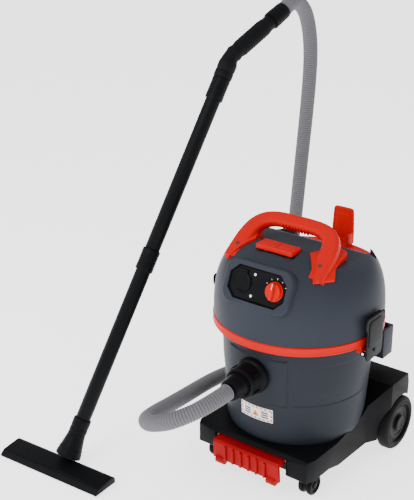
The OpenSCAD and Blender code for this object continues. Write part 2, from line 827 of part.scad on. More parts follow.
module motor_frame() {
    r = stator_r + 3;
    color("#9a9da1") difference() {
        union() {
            ring_solid(r, stator_r + 0.5, low_bearing_z, frame_top);
            translate([0, 0, low_bearing_z]) cylinder(r = r, h = 2);
            translate([0, 0, frame_top - 2.5]) cylinder(r = r, h = 2.5);
            ring_solid(bearing_r + 3, bearing_r + slip, low_bearing_z, low_bearing_z + bearing_h);
            ring_solid(bearing_r + 3, bearing_r + slip, top_bearing_z, frame_top);
        }
        translate([0, 0, low_bearing_z - 1]) cylinder(r = shaft_r + 2, h = frame_top);
        translate([0, 0, low_bearing_z - 1]) cylinder(r = bearing_r + slip, h = bearing_h + 1);
        for (a = [0, 180]) rotate([0, 0, a]) translate([30, -6, brush_z - 1]) cube([30, 12, brush_h + 2]);
        for (a = [45:90:315]) rotate([0, 0, a]) translate([30, -9, stator_z + 6])
            cube([30, 18, stator_h - 12]);
    }
}

module stator() {
    color("#8a5a33") ring_solid(stator_r + 0.3, armature_r + 2, stator_z, stator_z + stator_h);
}

module bearings() {
    color("#c7c9cc") {
        ring_solid(bearing_r, shaft_r + fit, low_bearing_z + 0.5, low_bearing_z + bearing_h);
        ring_solid(bearing_r, shaft_r + fit, top_bearing_z, top_bearing_z + bearing_h);
    }
}

module rotor() {
    color("#b0764a") {
        translate([0, 0, case_z + case_wall + 3])
            cylinder(r = shaft_r, h = fan_z + fan_h - case_z - case_wall - 1);
        translate([0, 0, stator_z + 1]) cylinder(r = armature_r, h = stator_h - 2);
        translate([0, 0, brush_z]) cylinder(r = 12, h = brush_h);
        for (a = [0:40:320]) rotate([0, 0, a]) translate([-1, 8, fan_z + 0.5])
            cube([2, 20, fan_h - 1]);
        translate([0, 0, fan_z]) cylinder(r = 10, h = fan_h);
    }
}

module impeller() {
    z = case_z + case_wall + 8;
    h = 14;
    r = turbine_r - case_wall - 5;
    color("#c7c9cc") difference() {
        union() {
            translate([0, 0, z]) cylinder(r = r, h = 1.5);
            translate([0, 0, z + h]) cylinder(r = r, h = 1.5);
            translate([0, 0, z]) cylinder(r = shaft_r + 6, h = h);
            for (a = [0:45:315]) rotate([0, 0, a]) translate([shaft_r + 4, -0.8, z]) rotate([0, 0, 12])
                cube([r - shaft_r - 8, 1.6, h + 1]);
        }
        translate([0, 0, z - 1]) cylinder(r = shaft_r, h = h + 10);
    }
}

module brush_holders() {
    color("#2a2c30") for (a = [0, 180]) rotate([0, 0, a]) translate([12.4, -5, brush_z + 0.2])
        cube([stator_r + 9 - 12.4, 10, brush_h - 0.4]);
}

module motor_hood() {
    color("#1f2125") difference() {
        translate([0, 0, base_top]) cylinder(r = hood_r, h = hood_top - base_top);
        translate([0, 0, base_top - 1]) cylinder(r = hood_r - 2.5, h = hood_top - base_top - 1.5);
        for (a = [0:30:330]) rotate([0, 0, a]) translate([hood_r - 10, -4, base_top + 20]) cube([20, 8, 34]);
    }
}

// ---------------------------------------------------------------- hose, wand and nozzle

// Sweeps a round tube along points, with a ring square to the path at each point
module swept_tube(points, r, sides) {
    n = len(points);
    function unit(v) = v / norm(v);
    function along(i) = unit(points[min(i + 1, n - 1)] - points[max(i - 1, 0)]);
    // Each ring's first direction is the last ring's, turned square to the path
    across_list = [for (i = 0, u = unit(cross(along(0), [1, 0, 0])); i < n;
        i = i + 1, u = i < n ? unit(u - (u * along(i)) * along(i)) : u) u];
    rings = [for (i = [0:n - 1]) let (u = across_list[i], v = cross(along(i), u))
        for (k = [0:sides - 1]) points[i] + r * (cos(k * 360 / sides) * u + sin(k * 360 / sides) * v)];
    faces = concat(
        [[for (k = [0:sides - 1]) k]],
        [for (i = [0:n - 2]) for (k = [0:sides - 1])
            [i * sides + k, (i + 1) * sides + k, (i + 1) * sides + (k + 1) % sides,
             i * sides + (k + 1) % sides]],
        [[for (k = [sides - 1:-1:0]) (n - 1) * sides + k]]);
    polyhedron(points = rings, faces = faces, convexity = 10);
}

// Points on a smooth curve through the given ones, in a number of steps between each two
function smooth_line(p, steps) = let (n = len(p)) concat([for (i = [0:n - 2], k = [0:steps - 1]) let (
    t = k / steps, b = p[i], c = p[i + 1],
    a = i > 0 ? p[i - 1] : 2 * b - c, d = i < n - 2 ? p[i + 2] : 2 * c - b)
    b + ((c - a) * t + (2 * a - 5 * b + 4 * c - d) * pow(t, 2) + (3 * b - a - 3 * c + d) * pow(t, 3)) / 2],
    [p[n - 1]]);

module hose() {
    color("#7c7b80") swept_tube(smooth_line(hose_points, 3), hose_r, 16);
}

module hose_cuff_inlet() {
    bore_r = port_r - 14;
    color("#1c1e22") translate([0, 0, inlet_z]) rotate([90, 0, 0]) difference() {
        union() {
            translate([0, 0, tank_r - 16]) cylinder(r = hose_r + 7.5, h = 30);
            translate([0, 0, tank_r + 12]) cylinder(r = bore_r - clear, h = 46);
            translate([0, 0, tank_r + 57])
                cylinder(r1 = hose_r + 9, r2 = hose_r + 5, h = -cuff_end_y - tank_r - 57);
        }
        translate([0, 0, tank_r - 30]) cylinder(r = hose_r - 2, h = 200);
    }
}

// One of the wand's tubes, with the collar at its upper end
module wand_tube(from, to) {
    color("#17181b") on_wand(0) {
        ring_solid(tube_r, tube_r - tube_wall, from, to);
        ring_solid(collar_r, tube_r + fit, to, to + collar_len);
        ring_solid(collar_r, tube_r - tube_wall, to - 4, to);
    }
}

// Round bar along the handle: the straight, the elbow and the grip, each end longer by e
module handle_bar(r, e) {
    on_wand(high_end + 6 - e) cylinder(r = r, h = bend_at - high_end - 6 + e);
    on_wand(bend_at) sphere(r = r);
    on_grip(0) cylinder(r = r, h = grip_len - cuff_len + e);
}

module wand_handle() {
    color("#17181b") difference() {
        union() {
            handle_bar(tube_r, 0);
            on_wand(high_end + collar_len + 1) cylinder(r = tube_r + 4.5, h = 40);
            on_grip(28) cylinder(r = tube_r + 2, h = 94);
            for (i = [0:8]) on_grip(34 + i * 9.4) cylinder(r = tube_r + 3, h = 5);
        }
        handle_bar(tube_r - tube_wall, 2);
    }
}

module hose_cuff_handle() {
    color("#1c1e22") on_grip(grip_len - cuff_len + slip) difference() {
        cylinder(r1 = hose_r + 3, r2 = hose_r + 2, h = cuff_len - slip);
        translate([0, 0, -1]) cylinder(r = tube_r - tube_wall, h = cuff_len + 2);
    }
}

module floor_nozzle() {
    half = nozzle_d / 2;
    color("#17181b") difference() {
        union() {
            translate([nozzle_pos[0], nozzle_pos[1], 0]) rotate([0, 0, nozzle_turn])
                translate([-nozzle_w / 2, 0, 0]) rotate([90, 0, 90]) linear_extrude(nozzle_w) polygon([
                    [-half, 0], [-half, 6], [-half + 12, 18], [half - 6, 22], [half, 16], [half, 0]]);
            on_wand(0) translate([0, 0, neck_start]) cylinder(r1 = 32, r2 = collar_r, h = 62);
            on_wand(0) translate([0, 0, -insert_len - 6]) cylinder(r = collar_r, h = insert_len + 6);
        }
        slab(2000, -1000, 1000, -100, 0);
        on_wand(0) translate([0, 0, neck_start + 22]) cylinder(r = tube_r - tube_wall, h = 100);
        on_wand(0) translate([0, 0, -insert_len]) cylinder(r = tube_r + fit, h = insert_len + 10);
        translate([nozzle_pos[0], nozzle_pos[1], 0]) rotate([0, 0, nozzle_turn])
            slab(nozzle_w - 24, 6, 26, -1, 12);
    }
}

// ---------------------------------------------------------------- assembly

tank();
rim_ring();
inlet_socket();
inlet_seal();
inlet_deflector();
warning_label();
tool_holder();
trolley_frame();
rear_axle();
axle_washers();
tyre(-1);  // tyre_left
tyre(1);  // tyre_right
rim(-1);  // rim_left
rim(1);  // rim_right
hub_cap(-1);  // hub_cap_left
hub_cap(1);  // hub_cap_right
castor_fork(-1);  // castor_fork_left
castor_fork(1);  // castor_fork_right
castor_wheels(-1);  // castor_wheels_left
castor_wheels(1);  // castor_wheels_right
brake_pedal();
pedal_pin();
latch(-1);  // latch_left
latch(1);  // latch_right
latch_pins();
head_shell();
head_base();
head_gasket();
carry_handle();
cable_hook();
control_panel();
head_screws();
outlet_socket();
outlet_flap();
switch_knob();
switch_block();
control_board();
clean_key();
key_springs();
cord_gland();
exhaust_grille();
filter_cassette(-1);  // filter_left
filter_cassette(1);  // filter_right
float_cage();
float();
turbine_case();
motor_frame();
stator();
bearings();
rotor();
impeller();
brush_holders();
motor_hood();
hose();
hose_cuff_inlet();
hose_cuff_handle();
wand_tube(-insert_len + 2, low_end);  // wand_lower
wand_tube(high_start, high_end);  // wand_upper
wand_handle();
floor_nozzle();
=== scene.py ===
"""Wet and dry shop vacuum: tank, red-ringed motor head, wheeled trolley, hose, wand and floor nozzle."""

import math

import bmesh
import bpy
from mathutils import Matrix, Vector


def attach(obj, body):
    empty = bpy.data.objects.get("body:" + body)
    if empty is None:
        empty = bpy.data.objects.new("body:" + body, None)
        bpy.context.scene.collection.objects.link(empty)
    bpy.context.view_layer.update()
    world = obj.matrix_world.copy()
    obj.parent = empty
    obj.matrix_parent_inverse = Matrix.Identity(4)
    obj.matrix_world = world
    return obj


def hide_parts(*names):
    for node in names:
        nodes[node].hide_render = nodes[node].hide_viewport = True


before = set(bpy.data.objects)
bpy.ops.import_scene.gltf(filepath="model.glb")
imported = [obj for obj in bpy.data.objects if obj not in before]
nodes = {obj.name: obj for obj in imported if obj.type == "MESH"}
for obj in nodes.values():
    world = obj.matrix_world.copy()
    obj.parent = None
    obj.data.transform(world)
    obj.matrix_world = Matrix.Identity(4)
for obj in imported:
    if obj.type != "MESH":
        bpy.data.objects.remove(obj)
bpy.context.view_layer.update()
TURN = 2 * math.pi
QUARTER_X, QUARTER_Y, QUARTER_Z = [Matrix.Rotation(TURN / 4, 4, axis) for axis in "XYZ"]
FACING_RIGHT = QUARTER_Z @ QUARTER_X
WELD = 1e-6


# ---------------------------------------------------------------- camera, light and floor
# A portrait view from the right front and above, with a large soft light over the machine,
# a weaker one from the left, and a white floor that runs up behind.

camera_data = bpy.data.cameras.new("camera")
camera_data.sensor_width = 36
camera_data.lens = 78.2
camera_data.clip_end = 50
camera = bpy.data.objects.new("camera", camera_data)
camera.location = (1.21532, -1.94177, 1.47273)
camera.rotation_euler = (math.radians(90 - 22.504), 0, math.radians(37.386))
bpy.context.scene.collection.objects.link(camera)
bpy.context.scene.camera = camera

world = bpy.data.worlds.new("white_room")
world.use_nodes = True
world.node_tree.nodes["Background"].inputs["Color"].default_value = (1, 1, 1, 1)
world.node_tree.nodes["Background"].inputs["Strength"].default_value = 0.80
bpy.context.scene.world = world


def soft_light(name, place, target, size, power):
    """A square area light at a place, aimed at a target."""
    lamp = bpy.data.lights.new(name, "AREA")
    lamp.size = size
    lamp.energy = power
    made = bpy.data.objects.new(name, lamp)
    made.location = place
    made.rotation_euler = (Vector(target) - Vector(place)).to_track_quat("-Z", "Y").to_euler()
    bpy.context.scene.collection.objects.link(made)


soft_light("key_light", (-0.4, -2.4, 2.6), (0, 0, 0.3), 1.4, 64)
soft_light("fill_light", (-2.2, -1.8, 1.6), (-0.1, 0, 0.4), 1.8, 22)
soft_light("rim_light", (0.6, 2.2, 2.2), (0, 0, 0.5), 1.4, 12)


class Wire:
    """An output socket in a material, on which each arithmetic operator adds its Math node."""

    def __init__(self, finish, socket):
        self.finish = finish
        self.socket = socket

    def maths(self, operation, first, second=0.0):
        return self.finish.node("Math", {"operation": operation}, {0: first, 1: second})

    def __add__(self, other):
        return self.maths("ADD", self, other)

    def __sub__(self, other):
        return self.maths("SUBTRACT", self, other)

    def __mul__(self, other):
        return self.maths("MULTIPLY", self, other)

    def __gt__(self, other):
        return self.maths("GREATER_THAN", self, other)

    def __lt__(self, other):
        return self.maths("LESS_THAN", self, other)

    def __mod__(self, other):
        return self.maths("FLOORED_MODULO", self, other)

    def __abs__(self):
        return self.maths("ABSOLUTE", self)


class Finish:
    """One material with a Principled shader, and the nodes that vary it over a surface."""

    def __init__(self, name, **settings):
        self.material = bpy.data.materials.new(name)
        self.material.use_nodes = True
        self.tree = self.material.node_tree
        self.shader = self.tree.nodes["Principled BSDF"]
        for socket, value in settings.items():
            self.shader.inputs[socket.replace("_", " ")].default_value = value

    def node(self, kind, settings, sockets, out=0):
        """A node of a type, with its settings, then the values or wires of its sockets."""
        made = self.tree.nodes.new("ShaderNode" + kind)
        for key, value in settings.items():
            if key != "stops":
                setattr(made, key, value)
                continue
            while len(made.color_ramp.elements) < len(value):
                made.color_ramp.elements.new(0.5)
            for element, (place, colour) in zip(made.color_ramp.elements, value):
                element.position = place
                element.color = (*colour, 1)
        for key, value in sockets.items():
            self.put(made.inputs[key], value)
        return Wire(self, made.outputs[out])

    def put(self, socket, value):
        if isinstance(value, Wire):
            self.tree.links.new(value.socket, socket)
        else:
            socket.default_value = value

    def drive(self, socket, value):
        """Feeds one of the shader's own sockets."""
        self.put(self.shader.inputs[socket], value)

    def place(self):
        """The point on the surface, in the object's own metres."""
        return self.node("TexCoord", {}, {}, "Object")

    def axes(self):
        """The same point as its three separate numbers."""
        split = self.node("SeparateXYZ", {}, {0: self.place()})
        return [Wire(self, split.socket.node.outputs[i]) for i in range(3)]

    def noise(self, scale, detail=2.0, rough=0.5):
        return self.node("TexNoise", {}, {
            "Vector": self.place(), "Scale": scale, "Detail": detail, "Roughness": rough})

    def blend(self, share, first, second):
        """A colour between two colours, by a share from 0 to 1."""
        mixed = self.node("Mix", {"data_type": "RGBA"}, {0: share}, 2)
        for index, colour in ((6, first), (7, second)):
            self.put(mixed.socket.node.inputs[index], colour if isinstance(colour, Wire) else (*colour, 1))
        return mixed

    def bump(self, height, depth, strength=1.0):
        """Raises the surface by a height of 0 to 1, with a depth in metres."""
        self.drive("Normal", self.node("Bump", {}, {
            "Height": height, "Distance": depth, "Strength": strength}))


def plastic(name, colour, grain=0.00006, rough=0.42, coat=0.0, pitch=900.0, worn=0.12):
    """Moulded plastic: a spark-eroded grain, a little cloudiness in its colour, and handling marks."""
    made = Finish(name, IOR=1.49, Coat_Roughness=0.25, Specular_IOR_Level=0.06)
    cloud = made.noise(9.0, 3.0)
    grains = made.noise(pitch, 2.0, 0.6)
    marks = made.noise(38.0, 6.0, 0.72)
    lift = [min(1.0, c * 1.18 + 0.001) for c in colour]
    made.drive("Base Color", made.blend(cloud * 0.55 + marks * 0.2, colour, lift))
    made.drive("Roughness", marks * worn + grains * 0.08 + (rough - worn / 2))
    made.shader.inputs["Coat Weight"].default_value = coat
    made.bump(grains + marks * 0.25, grain)
    return made


studio_floor = Finish("studio_floor", Roughness=0.85, Emission_Color=(1, 1, 1, 1), Emission_Strength=2.0)
studio_floor.shader.inputs["Specular IOR Level"].default_value = 0.1
floor_grain = studio_floor.noise(3.0)
studio_floor.drive("Base Color", studio_floor.blend(floor_grain, (0.9, 0.9, 0.9), (0.93, 0.93, 0.93)))

floor_mesh = bmesh.new()
bmesh.ops.create_grid(floor_mesh, x_segments=1, y_segments=1, size=12)
floor_data = bpy.data.meshes.new("floor")
floor_mesh.to_mesh(floor_data)
floor_data.materials.append(studio_floor.material)
floor = bpy.data.objects.new("floor", floor_data)
floor.location = (0, 0, -0.0006)
bpy.context.scene.collection.objects.link(floor)


# ---------------------------------------------------------------- suction hose
# A corrugated grey hose of 38 mm, moulded as one wound skin. It hangs from the wand's handle to
# the floor behind the machine, comes forward on its left, and turns back into the inlet.

SKIN_RADIUS = 0.0187
RIB_DEPTH = 0.0021
RIB_PITCH = 0.0062
RIB_SHAPE = ((0.0, 1.0), (0.22, 0.25), (0.36, 0.0), (0.72, 0.0), (0.86, 0.25))
HOSE_ROUTE = [
    (0, -0.275, 0.286), (-0.005, -0.315, 0.281), (-0.026, -0.362, 0.266), (-0.068, -0.394, 0.243),
    (-0.122, -0.392, 0.217), (-0.166, -0.356, 0.193), (-0.190, -0.298, 0.174), (-0.204, -0.228, 0.158),
    (-0.215, -0.155, 0.145), (-0.228, -0.082, 0.131), (-0.244, -0.010, 0.113), (-0.262, 0.075, 0.088),
    (-0.280, 0.155, 0.056), (-0.296, 0.235, 0.028), (-0.308, 0.310, 0.023), (-0.314, 0.370, 0.042),
    (-0.316, 0.412, 0.090), (-0.315, 0.435, 0.160), (-0.312, 0.444, 0.240), (-0.307, 0.446, 0.330),
    (-0.300, 0.447, 0.420), (-0.293, 0.447, 0.510), (-0.286, 0.447, 0.600), (-0.279, 0.447, 0.690),
    (-0.272, 0.445, 0.780), (-0.266, 0.438, 0.860), (-0.260, 0.418, 0.930), (-0.253, 0.382, 0.985),
    (-0.247, 0.332, 1.016), (-0.242, 0.290, 1.014), (-0.239, 0.267, 1.006)]


def smooth_route(points, steps):
    """Points on a Catmull-Rom curve through the given ones."""
    knots = [Vector(p) for p in points]
    knots = [2 * knots[0] - knots[1], *knots, 2 * knots[-1] - knots[-2]]
    made = []
    for a, b, c, d in zip(knots, knots[1:], knots[2:], knots[3:]):
        for i in range(steps):
            t = i / steps
            made.append(0.5 * (2 * b + (c - a) * t + (2 * a - 5 * b + 4 * c - d) * t ** 2
                               + (3 * b - a - 3 * c + d) * t ** 3))
    return [*made, knots[-2]]


def lathe(bm, profile, segments=96, closed=True):
    """Spins a profile of (radius, height) points about the Z axis, and welds it at the axis."""
    verts = [bm.verts.new((r, 0, z)) for r, z in profile]
    edges = [bm.edges.new(pair) for pair in zip(verts, verts[1:])]
    if closed:
        edges.append(bm.edges.new((verts[-1], verts[0])))
    bmesh.ops.spin(bm, geom=[*verts, *edges], cent=(0, 0, 0), axis=(0, 0, 1), angle=TURN, steps=segments,
                   use_merge=True)
    bmesh.ops.remove_doubles(bm, verts=bm.verts, dist=WELD)


def settle(bm, name, finish, body, replaces=(), sharp=32, facing=True):
    """Turns a bmesh into a finished piece that rides on a body."""
    if facing:
        bmesh.ops.remove_doubles(bm, verts=bm.verts, dist=WELD)
        bmesh.ops.recalc_face_normals(bm, faces=bm.faces)
    data = bpy.data.meshes.new(name)
    bm.to_mesh(data)
    bm.free()
    data.materials.append(finish.material)
    data.shade_smooth()
    data.set_sharp_from_angle(angle=math.radians(sharp))
    made = bpy.data.objects.new(name, data)
    bpy.context.scene.collection.objects.link(made)
    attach(made, body)
    if replaces:
        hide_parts(*replaces)
    return made


def bend_along(bm, route):
    """Bends a mesh that stands on Z along a route, keeping its own length and its twist even."""
    reach = [0.0]
    for a, b in zip(route, route[1:]):
        reach.append(reach[-1] + (b - a).length)
    heads = [(route[min(i + 1, len(route) - 1)] - route[max(i - 1, 0)]).normalized()
             for i in range(len(route))]
    side = heads[0].orthogonal().normalized()
    sides = []
    for head in heads:
        side = (side - side.dot(head) * head).normalized()
        sides.append(side)
    i = 0
    for vert in sorted(bm.verts, key=lambda v: v.co.z):
        while i < len(route) - 2 and reach[i + 1] < vert.co.z:
            i += 1
        t = (vert.co.z - reach[i]) / (reach[i + 1] - reach[i])
        head = heads[i].lerp(heads[i + 1], t).normalized()
        u = sides[i].lerp(sides[i + 1], t).normalized()
        centre = route[i].lerp(route[i + 1], t)
        vert.co = centre + vert.co.x * u + vert.co.y * head.cross(u)


hose_line = smooth_route(HOSE_ROUTE, 12)
hose_length = sum((b - a).length for a, b in zip(hose_line, hose_line[1:]))
rib_count = int(hose_length / RIB_PITCH)
rib_step = hose_length / rib_count
hose_profile = []
for rib in range(rib_count):
    for share, depth in RIB_SHAPE:
        hose_profile.append((SKIN_RADIUS - RIB_DEPTH * depth, (rib + share) * rib_step))
hose_profile.append((SKIN_RADIUS - RIB_DEPTH, hose_length))

hose_plastic = plastic("hose_plastic", (0.135, 0.133, 0.145), 0.00004, 0.44, 0.0, 1400.0, 0.16)
hose_mesh = bmesh.new()
lathe(hose_mesh, [(0, 0), *hose_profile, (0, hose_length)], 32, False)
bend_along(hose_mesh, hose_line)
hose = settle(hose_mesh, "suction_hose", hose_plastic, "base", ["hose"], 60)


# ---------------------------------------------------------------- hose cuffs
# Black moulded ends of the hose: a tapered one that plugs into the tank's inlet, and a short one
# that is pressed into the wand's handle.

INLET_HEIGHT = 0.286
WAND_FOOT = Vector((-0.376, -0.345, 0.113))
WAND_TURN = Matrix.Rotation(math.radians(77.4), 4, "Z") @ Matrix.Rotation(math.radians(29.7), 4, "Y")
BEND_AT = 0.925
BEND_ANGLE = math.radians(32.3)
BEND_TURN = Matrix.Rotation(BEND_ANGLE, 4, "Y")

black_plastic = plastic("black_plastic", (0.0035, 0.0038, 0.0046), 0.00005, 0.40, 0.0, 1000.0, 0.16)


def facing_front(height, y=0.0):
    """The turn and place that lay a shape that stands on Z along -Y at a height."""
    return Matrix.Translation((0, y, height)) @ QUARTER_X


def along_wand(reach):
    """The turn and place that lay a shape along the wand, a reach above its foot."""
    return Matrix.Translation(WAND_FOOT) @ WAND_TURN @ Matrix.Translation((0, 0, reach))


def along_grip(reach):
    """The same beyond the bend of the wand's handle."""
    return along_wand(BEND_AT) @ BEND_TURN @ Matrix.Translation((0, 0, reach))


cuff_mesh = bmesh.new()
lathe(cuff_mesh, [
    (0.0175, 0.167), (0.0262, 0.167), (0.0268, 0.170), (0.0268, 0.190), (0.0285, 0.193), (0.0286, 0.222),
    (0.0300, 0.224), (0.0300, 0.230), (0.0285, 0.232), (0.0280, 0.236), (0.0272, 0.238), (0.0272, 0.241),
    (0.0278, 0.243), (0.0262, 0.252), (0.0256, 0.253), (0.0256, 0.256), (0.0262, 0.257), (0.0246, 0.266),
    (0.0240, 0.272), (0.0225, 0.2748), (0.0175, 0.2748)], 72)
cuff_mesh.transform(facing_front(INLET_HEIGHT))
inlet_cuff = settle(cuff_mesh, "hose_inlet_cuff", black_plastic, "base", ["hose_cuff_inlet"])

cuff_mesh = bmesh.new()
lathe(cuff_mesh, [
    (0.0163, 0.1432), (0.0215, 0.1432), (0.0219, 0.145), (0.0219, 0.151), (0.0209, 0.152), (0.0209, 0.155),
    (0.0218, 0.156), (0.0216, 0.162), (0.0207, 0.163), (0.0207, 0.166), (0.0215, 0.167), (0.0212, 0.174),
    (0.0204, 0.175), (0.0204, 0.178), (0.0211, 0.179), (0.0209, 0.188), (0.0200, 0.1908), (0.0163, 0.1908)],
    64)
cuff_mesh.transform(along_grip(0))
handle_cuff = settle(cuff_mesh, "hose_handle_cuff", black_plastic, "base",
                     ["hose_cuff_handle"])


# ---------------------------------------------------------------- tank
# A blow-moulded slate-grey bucket with a rounded foot. A raised pad carries the suction inlet, and
# two shallow creases run round from it. The rim's flange is hidden in the red ring.

tank_grey = plastic("tank_grey", (0.019, 0.022, 0.029), 0.00010, 0.40, 0.0, 620.0, 0.10)


def rounded(points, radius, steps=4):
    """A polyline of (x, y) pairs with rounded corners. A point's third number is its own radius."""
    made = [tuple(points[0][:2])]
    for before, corner, after in zip(points, points[1:], points[2:]):
        size = corner[2] if len(corner) > 2 else radius
        here = Vector(corner[:2])
        one, two = Vector(before[:2]) - here, Vector(after[:2]) - here
        reach = min(size, 0.45 * one.length, 0.45 * two.length)
        start, end = here + one.normalized() * reach, here + two.normalized() * reach
        for i in range(steps + 1):
            t = i / steps
            point = start.lerp(here, t).lerp(here.lerp(end, t), t)
            made.append((point.x, point.y))
    made.append(tuple(points[-1][:2]))
    return made


def wall_radius(height):
    """The tank's outer radius, which grows evenly from its foot to its rim."""
    return 0.1640 + 0.0148 * (height - 0.124) / 0.22


tank_mesh = bmesh.new()
wall_rows = [(wall_radius(height), height) for height in (
    0.124, 0.140, 0.155, 0.170, 0.185, 0.200, 0.2135, 0.216, 0.230, 0.245, 0.260, 0.275, 0.290, 0.305, 0.320,
    0.332, 0.3345)] + [(0.1795, 0.345), (0.180, 0.364)]
foot_curve = rounded([(0, 0.0925), (0.140, 0.0925, 0.004), (0.1575, 0.0995, 0.02), (0.1640, 0.124)], 0.01, 6)
tank_outer = [*foot_curve[:-1], *wall_rows, (0.1888, 0.3642), (0.1888, 0.3698), (0.1768, 0.3698)]
tank_inner = [(0.1764, 0.345), (0.1745, 0.275), (0.1600, 0.121), (0.1530, 0.1040), (0.1385, 0.0960),
              (0, 0.0960)]
lathe(tank_mesh, [*tank_outer, *tank_inner], 180, False)


def crease(bm, low, high, width, depth):
    """Insets the outer faces between two corners and raises them, or sinks them with a depth below 0."""
    bmesh.ops.recalc_face_normals(bm, faces=bm.faces)
    chosen = []
    for face in bm.faces:
        middle, normal = face.calc_center_median(), face.normal
        outward = normal.x * middle.x + normal.y * middle.y > 0.001
        if outward and all(a < m < b for a, m, b in zip(low, middle, high)):
            chosen.append(face)
    bmesh.ops.inset_region(bm, faces=chosen, thickness=width, depth=depth, use_even_offset=True,
                           use_boundary=True)


crease(tank_mesh, (-0.076, -0.2, 0.2130), (0.076, 0, 0.3350), 0.0035, 0.0032)
crease(tank_mesh, (0.084, -0.2, 0.2160), (0.2, 0.02, 0.3200), 0.0030, -0.0016)
crease(tank_mesh, (-0.2, -0.2, 0.2160), (-0.084, 0.02, 0.3200), 0.0030, -0.0016)
settle(tank_mesh, "tank_shell", tank_grey, "base", ["tank"], 28)


# ---------------------------------------------------------------- suction inlet
# The black socket that takes the hose's cuff: a domed flange on the tank's pad, a sleeve with a
# bead at its mouth, and two lugs that lock the cuff.

inlet_mesh = bmesh.new()
lathe(inlet_mesh, rounded([
    (0.0292, 0.163), (0.0308, 0.163), (0.0308, 0.1795), (0.0425, 0.1815), (0.0428, 0.1905, 0.004),
    (0.0405, 0.1950, 0.003), (0.0362, 0.1975, 0.002), (0.0358, 0.2050), (0.0352, 0.2200), (0.0352, 0.2245),
    (0.0358, 0.2260), (0.0358, 0.2335, 0.002), (0.0345, 0.2357, 0.002), (0.0294, 0.2357), (0.0292, 0.163)],
    0.0012, 3), 96)
for angle in (35, 145, 215, 325):
    turn = Matrix.Rotation(math.radians(angle), 4, "Z") @ Matrix.Translation((0.0366, 0, 0.2120))
    bmesh.ops.create_cube(inlet_mesh, size=1, matrix=turn @ Matrix.Diagonal((0.004, 0.009, 0.022, 1)))
inlet_mesh.transform(facing_front(INLET_HEIGHT))
settle(inlet_mesh, "inlet_socket_body", black_plastic, "base", ["inlet_socket"])


# ---------------------------------------------------------------- printed label
# A white film label below the inlet with a dashed red border, one orange triangle and plain grey
# pictogram blocks. It carries no lettering.

LABEL_HALF = (0.043, 0.0175)
LABEL_HEIGHT = 0.183
BORDER_IN = 0.0058
BORDER_OUT = 0.0012
SIGN_FOOT = LABEL_HEIGHT - 0.0085

label_film = Finish("label_film", IOR=1.46)
label_film.shader.inputs["Specular IOR Level"].default_value = 0.2
label_x, _, label_z = label_film.axes()
side = abs(label_x)
rise = abs(label_z - LABEL_HEIGHT)
edge_side = (side > LABEL_HALF[0] - BORDER_IN) * (side < LABEL_HALF[0] - BORDER_OUT)
edge_rise = (rise > LABEL_HALF[1] - BORDER_IN) * (rise < LABEL_HALF[1] - BORDER_OUT)
dash = ((label_x + label_z) % 0.0110) < 0.0052
inside = (side < LABEL_HALF[0] - BORDER_OUT) * (rise < LABEL_HALF[1] - BORDER_OUT)
border = (edge_side + edge_rise) * dash * inside
slope = (label_z - SIGN_FOOT) * 0.62 + abs(label_x + 0.001)
sign = (slope < 0.0095) * (label_z > SIGN_FOOT)
hollow = (slope < 0.0045) * (label_z > LABEL_HEIGHT - 0.0058)
blocks = (abs(abs(label_x) - 0.023) < 0.0085) * (rise < 0.0095)
bars = ((label_z % 0.0060) < 0.0038) * blocks
speck = label_film.noise(240.0, 3.0)
paper = label_film.blend(speck * 0.3, (0.80, 0.79, 0.77), (0.88, 0.87, 0.85))
paper = label_film.blend(bars, paper, (0.045, 0.045, 0.055))
paper = label_film.blend(sign, paper, (0.80, 0.20, 0.0))
paper = label_film.blend(hollow, paper, (0.10, 0.05, 0.02))
label_film.drive("Base Color", label_film.blend(border, paper, (0.50, 0.012, 0.012)))
label_film.drive("Roughness", speck * 0.10 + 0.28)

label_mesh = bmesh.new()
bmesh.ops.create_grid(label_mesh, x_segments=24, y_segments=6, size=1)
for vert in label_mesh.verts:
    x, z = vert.co.x * LABEL_HALF[0], vert.co.y * LABEL_HALF[1] + LABEL_HEIGHT
    radius = wall_radius(z) + 0.0006
    vert.co = (x, -math.sqrt(radius ** 2 - x ** 2), z)
thick = bmesh.ops.extrude_face_region(label_mesh, geom=label_mesh.faces[:])
bmesh.ops.translate(label_mesh, verts=[v for v in thick["geom"] if isinstance(v, bmesh.types.BMVert)],
                    vec=(0, 0.0005, 0))
settle(label_mesh, "printed_label", label_film, "base", ["warning_label"])


# ---------------------------------------------------------------- rim ring
# The red clamping ring round the tank's rim. It is moulded with a shallow channel along its face
# and carries a lug on each side for the latch's pin.

signal_red = plastic("signal_red", (0.52, 0.0030, 0.0022), 0.00004, 0.40, 0.0, 1100.0, 0.12)


def block(bm, low, high, bevel=0.0, steps=3):
    """Adds a box between two corners, with every edge rounded."""
    low, high = Vector(low), Vector(high)
    made = bmesh.ops.create_cube(bm, size=1, matrix=Matrix.Translation((low + high) / 2)
                                 @ Matrix.Diagonal((*(high - low), 1)))["verts"]
    if bevel:
        edges = list({e for v in made for e in v.link_edges})
        rounded_off = bmesh.ops.bevel(bm, geom=edges, offset=bevel, segments=steps, profile=0.5,
                                      affect="EDGES", material=-1, clamp_overlap=True)
        made = list({v for f in rounded_off["faces"] for v in f.verts} | {v for v in made if v.is_valid})
    return made


def pin(bm, radius, length, turn, segments=24):
    """Adds a plain round bar."""
    bmesh.ops.create_cone(bm, cap_ends=True, segments=segments, radius1=radius, radius2=radius, depth=length,
                          matrix=turn)


